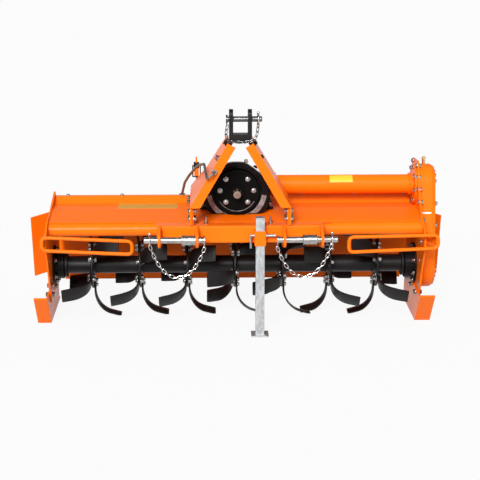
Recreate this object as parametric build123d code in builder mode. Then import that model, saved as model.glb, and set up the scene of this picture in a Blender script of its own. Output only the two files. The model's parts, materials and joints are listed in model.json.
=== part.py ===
from build123d import *
import math
import os

os.makedirs("parts", exist_ok=True)

# Rotary tiller for a tractor's three-point hitch, parked on its stand and its two skids.
# Millimetres. X runs to the machine's right, Y to its rear, Z up from the floor, and X = 0 is
# the middle of the hitch. Names that end in _H are heights above the rotor's axis.

# ---------------------------------------------------------------- driving sizes: rotor and hood
ROTOR_RADIUS = 245.0        # swept by the blades' corners
FLOOR_CLEAR = 6.0           # from the lowest blade to the floor
AXIS_Z = ROTOR_RADIUS + FLOOR_CLEAR
HOOD_LEFT = -881.0          # inner face of the left end plate
HOOD_WIDTH = 1722.0         # between the two end plates
HOOD_RIGHT = HOOD_LEFT + HOOD_WIDTH
PLATE = 8.0                 # end plates, cheeks, feet, skids
SHEET = 5.0                 # deck and trailing board
SEAT = 0.3                  # gap under a curved face that lies on another piece

# ---------------------------------------------------------------- front tube and hitch beam
TUBE_R = 30.0
TUBE_WALL = 5.0
TUBE_Y = -195.0
TUBE_H = 218.0
BEAM = 80.0                 # square section
BEAM_HALF = 380.0
BEAM_CORNER = 7.0
BEAM_REAR = TUBE_Y - TUBE_R - SEAT
BEAM_FRONT = BEAM_REAR - BEAM
BEAM_TOP_H = TUBE_H + BEAM / 2

# ---------------------------------------------------------------- lower hitch
LUG = 12.0                  # thickness of a lug plate
LUG_INNER_X = 197.0         # middle of the inner lug
LUG_OUTER_X = 367.0         # middle of the outer lug
LUG_NOSE_R = 35.0
LUG_ROOT_BELOW = 18.0       # the lug's root reaches this far below the beam
LUG_ROOT_ABOVE = 4.0
PIN_AHEAD = 63.0            # pins' axis ahead of the beam's front face
PIN_Y = BEAM_FRONT - PIN_AHEAD
PIN_H = 208.0
PIN_R = 14.0
PIN_INNER_X = 162.0         # face of the pin's head
PIN_OUTER_X = 437.0
PIN_HEAD_R = 19.0
PIN_HEAD = 8.0
PIN_FIT = 0.3               # radial, pin in its lugs
PIN_POINT = 3.0             # chamfer at a pin's free end
SLEEVE_R = 22.0
SLEEVE_LENGTH = 63.0
SLEEVE_LEFT_OFF = 0.5       # from the inner lug's face to the left sleeve
SLEEVE_RIGHT_OFF = 77.0     # from the inner lug's face to the right sleeve

# ---------------------------------------------------------------- linch pins and chains
LINCH_R = 5.0
LINCH_X = 410.0             # on the lower pins, from the middle
LINCH_TIP = 17.5            # below the pin's axis
LINCH_HEAD = 33.0           # above the pin's axis
LINCH_FIT = 0.3
RING_R = 26.0
RING_WIRE_R = 3.0
RING_SIDES = 20
ROD_SIDES = 8               # sides of the section of small rods
OCTAGON_CUT = 2 - math.sqrt(2)  # share of a bar's half width cut off to leave an octagon
EYE_DROP = 31.0             # eye of the head's tab, below the pin's axis
EYE_R = 4.5
EYE_EDGE = 4.0
EYE_TAB = 4.5
LINK_WIRE = 3.6
LINK_INSIDE = 22.0
LINK_WIDTH = 16.0
LINK_GAP = 0.4              # between two links' wires
LOWER_LINKS = 19
TOP_LINKS = 13

# ---------------------------------------------------------------- top link's clevis and pin
TOP_Y = -290.0
TOP_ABOVE = 104.0           # top pin's axis above the cheeks' tops
TOP_PIN_R = 12.5
TOP_PIN_LEFT = -57.0
TOP_PIN_RIGHT = 97.0
TOP_LINCH_X = 80.0
TOP_EYE_LEAN = 45.0         # the head's tab points forward and down
CLEVIS_HALF = 51.0
CLEVIS_EAR = 18.0
CLEVIS_DEPTH = 60.0
CLEVIS_ABOVE = 44.0         # ears' tops above the top pin's axis
CLEVIS_ROUND = 24.0
CLEVIS_FLOOR = 38.0
CLEVIS_FOOT = 12.0
CLEVIS_FOOT_DROP = 50.0

# ---------------------------------------------------------------- tower cheeks
CHEEK_TOP_H = 640.0
TOP_H = CHEEK_TOP_H + TOP_ABOVE
CLEVIS_TOP_H = TOP_H + CLEVIS_ABOVE
CHEEK_TOP_X = 57.5          # outer face at the top
CHEEK_FOOT_X = 229.0        # outer face of the upright tab
CHEEK_FOOT_H = 345.8        # where the slope meets the tab
CHEEK_TAB_H = 265.0
CHEEK_FRONT = -330.0
CHEEK_FOLD = 40.0
CHEEK_TAB_FRONT = -320.0
CHEEK_TAB_REAR = -240.0
FOOT_ABOVE = 34.0           # foot plate's sloped lip, above the bend

# ---------------------------------------------------------------- gearbox and its input
GEARBOX_X = -12.0
GEARBOX_HALF = 157.0
GEARBOX_TOP_HALF = 40.0
GEARBOX_BASE_HALF = 125.0
GEARBOX_TOP_H = 508.0
GEARBOX_FRONT = -100.0
GEARBOX_REAR = 140.0
INPUT_H = 376.0
COVER_R = 105.0
COVER = 25.0
COVER_RIM = 16.0
COVER_SIDES = 40
BOSS_R = 33.0               # boss round the stub
STUB_R = 17.5
STUB_ROOT_R = 14.5
STUB_FRONT = -190.0
STUB_FIT = 0.1
SPLINES = 6
SPLINE_WIDTH = 9.0

# ---------------------------------------------------------------- side shaft and gear case
SIDE_Y = 50.0
SIDE_TUBE_R = 44.5
SIDE_FLANGE_R = 60.0
SIDE_CONE_R = 75.0
SIDE_END_R = 95.0
SIDE_NECK_R = 52.0
SIDE_NECK = 14.0            # neck between the gearbox and the first flange
SIDE_FLANGE = 12.0
SIDE_CONE = 40.0            # length of the cone
SIDE_COLLAR = 14.0          # straight stretch after the cone
CASE = 78.0                 # width of the gear case
CASE_TOP_R = 95.0
CASE_LOW_R = 115.0
CASE_EDGE = 18.0
BREATHER_R = 8.0

# ---------------------------------------------------------------- deck, hinge, trailing board
DECK_FRONT = -200.0
DECK_CREASE = 94.0          # foot of the upstand
DECK_RISE = 21.7            # from the front edge to the crease
RAIL_FRONT = 141.0
RAIL_REAR = 165.0
RAIL_H = 304.0              # top of the rear rail
RAIL_DROP = 33.0
HINGE_Y = 185.0
HINGE_H = 286.0
HINGE_ROD_R = 8.0
KNUCKLE_R = 13.0
KNUCKLE_SIDES = 12
KNUCKLE = 50.0
KNUCKLE_GAP = 5.0
HINGE_FIT = 0.05
ROD_END = 6.0               # from the rod's end to the end plate
BOARD_BEND_Y = 285.0
BOARD_BEND_H = 195.0
BOARD_FOOT_Y = 385.0
BOARD_FOOT_H = -175.0
BOARD_EDGE_H = -123.0
BOARD_OVERHANG = 44.0       # panel past the end plates' inner faces
WING_OUT = 90.0
WING_FORWARD = 60.0
TONGUE_IN = 13.0            # ends of the upper panel and the tongue, inside the end plates
BOARD_GAP = 5.0             # from the fixed knuckles to the panel's top edge

# ---------------------------------------------------------------- rotor
SHAFT_R = 41.0
SHAFT_SIDES = 24
JOURNAL_R = 25.0
JOURNAL_FIT = 0.1
END_FLANGE_R = 60.0
END_FLANGE = 12.0
DISC_R = 112.0
DISC = 8.0
DISC_FIRST_X = -695.0
DISC_PITCH = 225.0
HUB = 50.0                  # length of the bearings' housings
BEARING_R = 65.0
HUB_R = 70.0
HUB_GAP = 5.0               # from a housing to the rotor's end flange
JOURNAL_END = 6.0
# one row a disc: angle of its first left-hand blade, in degrees forward of straight down
BLADE_PHASES = (60.0, 52.0, 50.0, 80.0, 70.0, 108.0, 116.0)
BLADES_PER_HAND = 3
BLADE = 8.0
BLADE_SHANK = 45.0
BLADE_ROOT_R = 62.0
BLADE_BEND_R = 110.0
BLADE_BEND_START = 121.0
BLADE_BEND_ANGLE = 75.0
BLADE_TIP = 48.0            # straight stretch after the bend
BLADE_FACES = 5             # flats round the bend
BLADE_LEAD = 10.0
BLADE_TRAIL = 65.0
BLADE_SHOULDER = 0.9

# ---------------------------------------------------------------- stand, guards, skids
STAND_X = 88.0
LEG = 40.0
LEG_TOP_H = 304.0
FOOT_PAD = 80.0
FOOT_PAD_THICK = 6.0
SOCKET = 51.0
SOCKET_WALL = 5.0
SOCKET_LOW_H = 175.0
SOCKET_TOP_H = 243.0
LOCK_R = 6.5
LOCK_H = 219.0
LOCK_LEFT = 46.0
LOCK_RIGHT = 160.0
LOCK_HANDLE_H = 160.0       # lower end of the handle
LOCK_GAP = 0.5              # the stub stops this short of the leg
BAR_R = 8.0
GUARD_Y = -340.0
GUARD_LOW_H = 156.5
GUARD_TOP_H = 217.0
GUARD_CORNER = 24.0
GUARD_DROOP = 20.0          # the inner end hangs this much lower
GUARD_FACES = 5             # flats round a corner
GUARD_INNER_X = 491.0
GUARD_OUTER_X = 897.0
GUARD_STRAP = 40.0
SKID_FRONT = -125.0
SKID_REAR = 300.0
SKID_RAMP_Y = -265.0
SKID_RAMP_H = -95.0
SKID_WEB_H = -90.0
SKID_LEFT_WIDTH = 63.0
SKID_RIGHT_WIDTH = 72.0


# ---------------------------------------------------------------- planes and small helpers
def side(x):
    """Plane across the machine: local x is Y and local y is the height above the axis."""
    return Plane(origin=(x, 0, AXIS_Z), x_dir=(0, 1, 0), z_dir=(1, 0, 0))


def front(y):
    """Upright plane along the machine: local x is X, local y the height; extrudes forward."""
    return Plane(origin=(0, y, AXIS_Z), x_dir=(1, 0, 0), z_dir=(0, -1, 0))


def level(h):
    """Level plane at a height above the axis."""
    return Plane.XY.offset(AXIS_Z + h)


def bent(points, thickness):
    """Outline of a sheet bent along points, its thickness to the left of the way they run."""
    normals = []
    for (x0, y0), (x1, y1) in zip(points[:-1], points[1:]):
        length = math.hypot(x1 - x0, y1 - y0)
        normals.append(((y0 - y1) / length, (x1 - x0) / length))
    other = []
    for i, (x, y) in enumerate(points):
        before = normals[max(i - 1, 0)]
        after = normals[min(i, len(normals) - 1)]
        share = 1 + before[0] * after[0] + before[1] * after[1]
        dx = (before[0] + after[0]) / share * thickness
        dy = (before[1] + after[1]) / share * thickness
        other.append((x + dx, y + dy))
    return list(points) + other[::-1]


def rounded(corners, radius, faces):
    """Closed outline through corners, each one rounded to a radius by a few short flats."""
    points = []
    for i, (x, y) in enumerate(corners):
        x0, y0 = corners[i - 1]
        x1, y1 = corners[(i + 1) % len(corners)]
        before = math.atan2(y - y0, x - x0)
        turn = (math.atan2(y1 - y, x1 - x) - before + math.pi) % (2 * math.pi) - math.pi
        back = radius * math.tan(abs(turn) / 2)
        way = math.copysign(1, turn)
        cx = x - back * math.cos(before) - way * radius * math.sin(before)
        cy = y - back * math.sin(before) + way * radius * math.cos(before)
        for k in range(faces + 1):
            a = before + turn * k / faces - way * math.pi / 2
            points.append((cx + radius * math.cos(a), cy + radius * math.sin(a)))
    return points


def rod(points, radius):
    """Adds an octagonal bar along points, given as X, Y and height, to the open part."""
    places = [Vector(x, y, AXIS_Z + h) for x, y, h in points]
    for i, (start, end) in enumerate(zip(places[:-1], places[1:])):
        way = (end - start).normalized()
        before = radius / 2 if i > 0 else 0
        after = radius / 2 if i < len(places) - 2 else 0
        with BuildSketch(Plane(origin=start - way * before, z_dir=way)) as section:
            RegularPolygon(radius, ROD_SIDES)
        extrude(section.sketch, amount=(end - start).length + before + after)


def deck_under(y):
    """Height of the deck's underside above the axis, on its sloped main panel."""
    start = TUBE_H + TUBE_R + SEAT
    return start + (y - DECK_FRONT) / (DECK_CREASE - DECK_FRONT) * DECK_RISE


def cheek_outer(h):
    """Distance of a cheek's sloped outer face from the middle, at a height."""
    slope = (CHEEK_FOOT_X - CHEEK_TOP_X) / (CHEEK_TOP_H - CHEEK_FOOT_H)
    return CHEEK_TOP_X + (CHEEK_TOP_H - h) * slope


# ================================================================= frame
with BuildPart() as front_tube:
    with BuildSketch(side(HOOD_LEFT)):
        with Locations((TUBE_Y, TUBE_H)):
            Circle(TUBE_R)
            Circle(TUBE_R - TUBE_WALL, mode=Mode.SUBTRACT)
    extrude(amount=HOOD_WIDTH)

front_tube.part.label = "front_tube"
export_step(front_tube.part, "parts/front_tube.step")

with BuildPart() as hitch_beam:
    with BuildSketch(side(-BEAM_HALF)):
        with Locations(((BEAM_REAR + BEAM_FRONT) / 2, TUBE_H)):
            Rectangle(BEAM, BEAM)
    extrude(amount=2 * BEAM_HALF)
    fillet(hitch_beam.edges().filter_by(Axis.X), BEAM_CORNER)

hitch_beam.part.label = "hitch_beam"
export_step(hitch_beam.part, "parts/hitch_beam.step")

# end plates: columns are Y, height above the axis and the corner's radius
LEFT_OUTLINE = (
    (-300, 138, 22), (-300, 212, 20), (-215, 262, 40), (-60, 275, 60), (160, 325, 10),
    (190, 290, 12), (262, 150, 30), (262, -60, 30), (180, -150, 20), (-130, -150, 20),
    (-195, -60, 30), (-215, 0, 30),
)
RIGHT_OUTLINE = (
    (-300, 138, 22), (-300, 212, 20), (-175, 265, 30), (-98, 335, 60), (-49, 413, 60),
    (-17, 497, 16), (150, 485, 20), (200, 300, 40), (262, 150, 30), (262, -60, 30),
    (180, -150, 20), (-130, -150, 20), (-195, -60, 30), (-215, 0, 30),
)
for label, x, outline in (
    ("end_plate_left", HOOD_LEFT - PLATE, LEFT_OUTLINE),
    ("end_plate_right", HOOD_RIGHT, RIGHT_OUTLINE),
):
    with BuildPart() as end_plate:
        with BuildSketch(side(x)):
            with BuildLine():
                FilletPolyline(
                    *[(y, h) for y, h, r in outline],
                    radius=[r for y, h, r in outline],
                    close=True,
                )
            make_face()
        extrude(amount=PLATE)
    end_plate.part.label = label
    export_step(end_plate.part, "parts/" + label + ".step")

# ================================================================= lower hitch
for label, sign in (("lower_clevis_left", -1), ("lower_clevis_right", 1)):
    with BuildPart() as lower_clevis:
        for x in (LUG_INNER_X, LUG_OUTER_X):
            with BuildSketch(side(sign * x - LUG / 2)):
                with Locations((PIN_Y, PIN_H)):
                    Circle(LUG_NOSE_R)
                with BuildLine():
                    Line(
                        (BEAM_FRONT, BEAM_TOP_H + LUG_ROOT_ABOVE),
                        (BEAM_FRONT, BEAM_TOP_H - BEAM - LUG_ROOT_BELOW),
                    )
                make_hull()
                with Locations((PIN_Y, PIN_H)):
                    Circle(PIN_R + PIN_FIT, mode=Mode.SUBTRACT)
            extrude(amount=LUG)
    lower_clevis.part.label = label
    export_step(lower_clevis.part, "parts/" + label + ".step")

for label, sign in (("lower_pin_left", -1), ("lower_pin_right", 1)):
    with BuildPart() as lower_pin:
        with BuildSketch(side(sign * PIN_INNER_X)):
            with Locations((PIN_Y, PIN_H)):
                Circle(PIN_R)
        extrude(amount=sign * (PIN_OUTER_X - PIN_INNER_X))
        chamfer(lower_pin.faces().sort_by(Axis.X)[-1 if sign > 0 else 0].edges(), PIN_POINT)
        with BuildSketch(side(sign * PIN_INNER_X)):
            with Locations((PIN_Y, PIN_H)):
                Circle(PIN_HEAD_R)
        extrude(amount=sign * PIN_HEAD)
        with BuildSketch(side(sign * PIN_INNER_X)):
            with Locations((PIN_Y, PIN_H - EYE_DROP / 2)):
                Rectangle(2 * (EYE_R + EYE_EDGE), EYE_DROP)
            with Locations((PIN_Y, PIN_H - EYE_DROP)):
                RegularPolygon(EYE_R + EYE_EDGE, 2 * ROD_SIDES)
                RegularPolygon(EYE_R, ROD_SIDES, mode=Mode.SUBTRACT)
        extrude(amount=sign * EYE_TAB)
        with BuildSketch(level(PIN_H)):
            with Locations((sign * LINCH_X, PIN_Y)):
                RegularPolygon(LINCH_R + LINCH_FIT, ROD_SIDES)
        extrude(amount=PIN_R + 1, both=True, mode=Mode.SUBTRACT)
    lower_pin.part.label = label
    export_step(lower_pin.part, "parts/" + label + ".step")

LUG_FACE = LUG_INNER_X + LUG / 2
with BuildPart() as pin_sleeves:
    for x in (
        -LUG_FACE - SLEEVE_LEFT_OFF - SLEEVE_LENGTH,
        LUG_FACE + SLEEVE_RIGHT_OFF,
    ):
        with BuildSketch(side(x)):
            with Locations((PIN_Y, PIN_H)):
                Circle(SLEEVE_R)
                Circle(PIN_R + PIN_FIT, mode=Mode.SUBTRACT)
        extrude(amount=SLEEVE_LENGTH)

pin_sleeves.part.label = "pin_sleeves"
export_step(pin_sleeves.part, "parts/pin_sleeves.step")

# ================================================================= tower
CHEEK_IN = PLATE / math.cos(math.atan2(CHEEK_FOOT_X - CHEEK_TOP_X, CHEEK_TOP_H - CHEEK_FOOT_H))
# cheeks' rear edges: columns are Y, height above the axis, from the top down
LEFT_REAR = ((-100, CHEEK_TOP_H), (-40, 480), (90, 405), (170, CHEEK_FOOT_H))
RIGHT_REAR = ((-110, CHEEK_TOP_H), (-8, CHEEK_FOOT_H))
for label, sign, rear in (("tower_cheek_left", -1, LEFT_REAR), ("tower_cheek_right", 1, RIGHT_REAR)):
    slope = [
        (sign * CHEEK_TOP_X, CHEEK_TOP_H),
        (sign * CHEEK_FOOT_X, CHEEK_FOOT_H),
        (sign * CHEEK_FOOT_X, CHEEK_TAB_H),
    ]
    with BuildPart() as cheek:
        with BuildSketch(front(rear[-1][0])):
            with BuildLine():
                Polyline(*bent(slope, -sign * PLATE), close=True)
            make_face()
        extrude(amount=rear[-1][0] - CHEEK_FRONT)
        with BuildSketch(side(min(0, sign * 2 * CHEEK_FOOT_X))):
            with BuildLine():
                Polyline(
                    (CHEEK_FRONT, CHEEK_TOP_H),
                    *rear,
                    (CHEEK_TAB_REAR, CHEEK_FOOT_H),
                    (CHEEK_TAB_REAR, CHEEK_TAB_H),
                    (CHEEK_TAB_FRONT, CHEEK_TAB_H),
                    (CHEEK_TAB_FRONT, CHEEK_FOOT_H),
                    (CHEEK_FRONT, CHEEK_FOOT_H),
                    close=True,
                )
            make_face()
        extrude(amount=2 * CHEEK_FOOT_X, mode=Mode.INTERSECT)
        with BuildSketch(front(CHEEK_FRONT + PLATE)):
            with BuildLine():
                Polyline(*bent(slope[:2], -sign * CHEEK_FOLD), close=True)
            make_face()
            with Locations((0, (CHEEK_TOP_H + CHEEK_FOOT_H) / 2)):
                Rectangle(2 * CHEEK_FOOT_X, CHEEK_TOP_H - CHEEK_FOOT_H, mode=Mode.INTERSECT)
        extrude(amount=PLATE)
    cheek.part.label = label
    export_step(cheek.part, "parts/" + label + ".step")

# foot plates, bent like the cheeks and bolted inside them
with BuildPart() as arm_feet:
    bend_h = CHEEK_FOOT_H - (CHEEK_IN - PLATE) / math.tan(
        math.atan2(CHEEK_FOOT_X - CHEEK_TOP_X, CHEEK_TOP_H - CHEEK_FOOT_H)
    )
    for sign in (-1, 1):
        lip_h = bend_h + FOOT_ABOVE
        inner = [
            (sign * (cheek_outer(lip_h) - CHEEK_IN), lip_h),
            (sign * (CHEEK_FOOT_X - PLATE), bend_h),
            (sign * (CHEEK_FOOT_X - PLATE), BEAM_TOP_H),
        ]
        with BuildSketch(front(BEAM_REAR)):
            with BuildLine():
                Polyline(*bent(inner, -sign * PLATE), close=True)
            make_face()
        extrude(amount=BEAM)

arm_feet.part.label = "arm_feet"
export_step(arm_feet.part, "parts/arm_feet.step")

with BuildPart() as top_clevis:
    foot_h = CHEEK_TOP_H - CLEVIS_FOOT_DROP
    foot_in = CLEVIS_FOOT * CHEEK_IN / PLATE
    for sign in (-1, 1):
        with BuildSketch(front(TOP_Y + CLEVIS_DEPTH / 2)):
            with BuildLine():
                Polyline(
                    (0, CHEEK_TOP_H + SEAT),
                    (sign * (CHEEK_TOP_X - CHEEK_IN - foot_in - SEAT), CHEEK_TOP_H + SEAT),
                    (sign * (cheek_outer(foot_h) - CHEEK_IN - foot_in - SEAT), foot_h),
                    (sign * (cheek_outer(foot_h) - CHEEK_IN - SEAT), foot_h),
                    (sign * (CHEEK_TOP_X - CHEEK_IN - SEAT), CHEEK_TOP_H + SEAT),
                    (sign * CLEVIS_HALF, CHEEK_TOP_H + SEAT),
                    (sign * CLEVIS_HALF, CLEVIS_TOP_H),
                    (sign * (CLEVIS_HALF - CLEVIS_EAR), CLEVIS_TOP_H),
                    (sign * (CLEVIS_HALF - CLEVIS_EAR), CHEEK_TOP_H + CLEVIS_FLOOR),
                    (0, CHEEK_TOP_H + CLEVIS_FLOOR),
                    close=True,
                )
            make_face()
        extrude(amount=CLEVIS_DEPTH)
    fillet(
        top_clevis.edges().filter_by(Axis.X).group_by(Axis.Z)[-1],
        CLEVIS_ROUND,
    )
    with BuildSketch(side(-CLEVIS_HALF - 1)):
        with Locations((TOP_Y, TOP_H)):
            Circle(TOP_PIN_R + PIN_FIT)
    extrude(amount=2 * CLEVIS_HALF + 2, mode=Mode.SUBTRACT)

top_clevis.part.label = "top_clevis"
export_step(top_clevis.part, "parts/top_clevis.step")

with BuildPart() as top_pin:
    with BuildSketch(side(TOP_PIN_LEFT)):
        with Locations((TOP_Y, TOP_H)):
            Circle(TOP_PIN_R)
    extrude(amount=TOP_PIN_RIGHT - TOP_PIN_LEFT)
    chamfer(top_pin.faces().sort_by(Axis.X)[-1].edges(), PIN_POINT)
    with BuildSketch(side(TOP_PIN_LEFT)):
        with Locations((TOP_Y, TOP_H)):
            Circle(PIN_HEAD_R)
    extrude(amount=-PIN_HEAD)
    with BuildSketch(side(TOP_PIN_LEFT - PIN_HEAD)):
        with Locations(Location((TOP_Y, TOP_H), -TOP_EYE_LEAN)):
            with Locations((0, -EYE_DROP / 2)):
                Rectangle(2 * (EYE_R + EYE_EDGE), EYE_DROP)
            with Locations((0, -EYE_DROP)):
                RegularPolygon(EYE_R + EYE_EDGE, 2 * ROD_SIDES)
                RegularPolygon(EYE_R, ROD_SIDES, mode=Mode.SUBTRACT)
    extrude(amount=EYE_TAB)
    with BuildSketch(level(TOP_H)):
        with Locations((TOP_LINCH_X, TOP_Y)):
            RegularPolygon(LINCH_R + LINCH_FIT, ROD_SIDES)
    extrude(amount=TOP_PIN_R + 1, both=True, mode=Mode.SUBTRACT)

top_pin.part.label = "top_pin"
export_step(top_pin.part, "parts/top_pin.step")

# a linch pin's ring about the origin, of octagonal wire
with BuildPart() as ring:
    with BuildSketch(Plane.YZ):
        RegularPolygon(RING_R + RING_WIRE_R, RING_SIDES)
        RegularPolygon(RING_R - RING_WIRE_R, RING_SIDES, mode=Mode.SUBTRACT)
    extrude(amount=RING_WIRE_R, both=True)
    chamfer(ring.edges().filter_by(Axis.X, reverse=True), RING_WIRE_R * OCTAGON_CUT)

# linch pins: columns are X, Y and height of the pin that each one crosses
with BuildPart() as linch_pins:
    for x, y, h in (
        (-LINCH_X, PIN_Y, PIN_H),
        (LINCH_X, PIN_Y, PIN_H),
        (TOP_LINCH_X, TOP_Y, TOP_H),
    ):
        with BuildSketch(level(h - LINCH_TIP)):
            with Locations((x, y)):
                RegularPolygon(LINCH_R, ROD_SIDES)
        extrude(amount=LINCH_TIP + LINCH_HEAD)
        with Locations((x, y, AXIS_Z + h)):
            add(ring.part)

linch_pins.part.label = "linch_pins"
export_step(linch_pins.part, "parts/linch_pins.step")


# ================================================================= safety chains
def hang(lengths, span, rise):
    """Slopes of a row of bars that hang between two points: the slope grows evenly from bar
    to bar, as in a loaded string, until the bars end at span and rise."""
    middle = (len(lengths) - 1) / 2

    def reach(step, tilt):
        angles = [math.atan(step * (i - middle) + tilt) for i in range(len(lengths))]
        across = sum(l * math.cos(a) for l, a in zip(lengths, angles))
        up = sum(l * math.sin(a) for l, a in zip(lengths, angles))
        return angles, across, up

    def level_out(step):
        low, high = -20.0, 20.0
        for _ in range(60):
            tilt = (low + high) / 2
            if reach(step, tilt)[2] < rise:
                low = tilt
            else:
                high = tilt
        return reach(step, (low + high) / 2)

    low, high = 0.0, 20.0
    for _ in range(60):
        step = (low + high) / 2
        if level_out(step)[1] > span:
            low = step
        else:
            high = step
    return level_out((low + high) / 2)[0]


def link_planes(start, end, count, fall):
    """Plane of each link between two anchors (x, s, grip), where s runs down a curved curtain,
    fall(s) gives the curtain's Y and height there, and grip is the way from the anchor's middle
    back to the middle of the wire round it. A joint that turns more has more play."""
    half = LINK_INSIDE / 2 + LINK_WIRE / 2
    plays = [LINK_GAP] * (count - 1)
    for _ in range(3):
        inner = [LINK_INSIDE / 2 - play / 2 for play in plays]
        heads = [half - start[2]] + inner
        tails = inner + [half - end[2]]
        lengths = [head + tail for head, tail in zip(heads, tails)]
        angles = hang(lengths, abs(end[0] - start[0]), start[1] - end[1])
        turns = [after - before for before, after in zip(angles[:-1], angles[1:])]
        plays = [LINK_GAP + LINK_WIRE * math.tan(abs(turn) / 2) for turn in turns]
    x, s = start[:2]
    way = 1 if end[0] > start[0] else -1
    ends = []
    for length, angle in zip(lengths, angles):
        x1 = x + way * length * math.cos(angle)
        s1 = s - length * math.sin(angle)
        ends.append(((x, s), (x1, s1)))
        x, s = x1, s1
    planes = []
    for i, ((xa, sa), (xb, sb)) in enumerate(ends):
        a = Vector(xa, fall(sa)[0], AXIS_Z + fall(sa)[1])
        b = Vector(xb, fall(sb)[0], AXIS_Z + fall(sb)[1])
        along = (b - a).normalized()
        down = Vector(0, fall((sa + sb) / 2 + 1)[0] - fall((sa + sb) / 2 - 1)[0],
                      fall((sa + sb) / 2 + 1)[1] - fall((sa + sb) / 2 - 1)[1]).normalized()
        out = Vector(1, 0, 0).cross(down)
        normal = out if i % 2 == 0 else out.cross(along)
        middle = a + along * heads[i]
        planes.append(Plane(origin=middle, x_dir=along, z_dir=normal))
    return planes


def straight_fall(y, h):
    """Curtain that hangs straight down from y, h."""
    return lambda s: (y, h - s)


def draped_fall(y, h, lean, radius):
    """Curtain that leaves y, h leaning forward and turns down in an arc."""
    def fall(s):
        turn = math.radians(lean)
        arc = radius * turn
        if s < arc:
            a = turn - s / radius
            return (
                y - radius * (math.cos(a) - math.cos(turn)),
                h - radius * (math.sin(turn) - math.sin(a)),
            )
        return (y - radius * (1 - math.cos(turn)), h - radius * math.sin(turn) - (s - arc))
    return fall


def octagon(length, width, corner):
    """Corners of a rectangle with its corners cut."""
    x, y = length / 2, width / 2
    return [
        (x, y - corner), (x - corner, y), (corner - x, y), (-x, y - corner),
        (-x, corner - y), (corner - x, -y), (x - corner, -y), (x, corner - y),
    ]


RING_GRIP = RING_WIRE_R / math.cos(math.pi / 8) + SEAT + LINK_WIRE / 2
EYE_GRIP = EYE_EDGE / 2 + 5 * SEAT + LINK_WIRE / 2
EYE_FOOT = EYE_DROP + EYE_R + EYE_EDGE / 2
EYE_X = PIN_INNER_X + EYE_TAB / 2
# the top chain leaves its ring and its eye leaning forward, then hangs in front of the cheeks
DRAPE_LEAN = 45.0
DRAPE_RADIUS = 114.0
lean = math.radians(DRAPE_LEAN)
DRAPE_Y = TOP_Y - RING_R * math.sin(lean)
DRAPE_H = TOP_H - RING_R * math.cos(lean)
TOP_EYE_X = TOP_PIN_LEFT - PIN_HEAD + EYE_TAB / 2
# chains: columns are label, links, start, end, curtain
CHAINS = (
    ("chain_left", LOWER_LINKS, (-LINCH_X, RING_R, RING_GRIP), (-EYE_X, EYE_FOOT, EYE_GRIP),
     straight_fall(PIN_Y, PIN_H)),
    ("chain_right", LOWER_LINKS, (LINCH_X, RING_R, RING_GRIP), (EYE_X, EYE_FOOT, EYE_GRIP),
     straight_fall(PIN_Y, PIN_H)),
    ("chain_top", TOP_LINKS, (TOP_LINCH_X, 0, RING_GRIP), (TOP_EYE_X, EYE_FOOT - RING_R, EYE_GRIP),
     draped_fall(DRAPE_Y, DRAPE_H, DRAPE_LEAN, DRAPE_RADIUS)),
)
for label, count, start, end, fall in CHAINS:
    with BuildPart() as chain:
        for plane in link_planes(start, end, count, fall):
            with BuildSketch(plane):
                with BuildLine():
                    Polyline(*octagon(LINK_INSIDE + 2 * LINK_WIRE, LINK_WIDTH, 5), close=True)
                make_face()
                Rectangle(LINK_INSIDE, LINK_WIDTH - 2 * LINK_WIRE, mode=Mode.SUBTRACT)
            extrude(amount=LINK_WIRE / 2, both=True)
    chain.part.label = label
    export_step(chain.part, "parts/" + label + ".step")

# ================================================================= gearbox
with BuildPart() as gearbox_housing:
    with BuildSketch(front(GEARBOX_REAR)):
        with BuildLine():
            FilletPolyline(
                (GEARBOX_X - GEARBOX_BASE_HALF, TUBE_H + TUBE_R),
                (GEARBOX_X - GEARBOX_HALF, 322),
                (GEARBOX_X - GEARBOX_HALF, 420),
                (GEARBOX_X - GEARBOX_TOP_HALF, GEARBOX_TOP_H),
                (GEARBOX_X + GEARBOX_TOP_HALF, GEARBOX_TOP_H),
                (GEARBOX_X + GEARBOX_HALF, 420),
                (GEARBOX_X + GEARBOX_HALF, 322),
                (GEARBOX_X + GEARBOX_BASE_HALF, TUBE_H + TUBE_R),
                radius=(0, 60, 70, 40, 40, 70, 60, 0),
                close=True,
            )
        make_face()
    extrude(amount=GEARBOX_REAR - GEARBOX_FRONT)
    with BuildSketch(side(GEARBOX_X + GEARBOX_HALF)):
        with Locations((SIDE_Y, INPUT_H)):
            Circle(SIDE_FLANGE_R)
    extrude(amount=-GEARBOX_HALF / 2)
    with BuildSketch(side(GEARBOX_X - GEARBOX_HALF - 1)):
        with BuildLine():
            Polyline(
                (GEARBOX_FRONT, deck_under(GEARBOX_FRONT) + SHEET + SEAT),
                (DECK_CREASE - 6, deck_under(DECK_CREASE - 6) + SHEET + SEAT),
                (DECK_CREASE - 6, RAIL_H + SEAT),
                (GEARBOX_REAR, RAIL_H + SEAT),
                (GEARBOX_REAR, GEARBOX_TOP_H),
                (GEARBOX_FRONT, GEARBOX_TOP_H),
                close=True,
            )
        make_face()
    extrude(amount=2 * GEARBOX_HALF + 2, mode=Mode.INTERSECT)

gearbox_housing.part.label = "gearbox_housing"
export_step(gearbox_housing.part, "parts/gearbox_housing.step")

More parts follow.
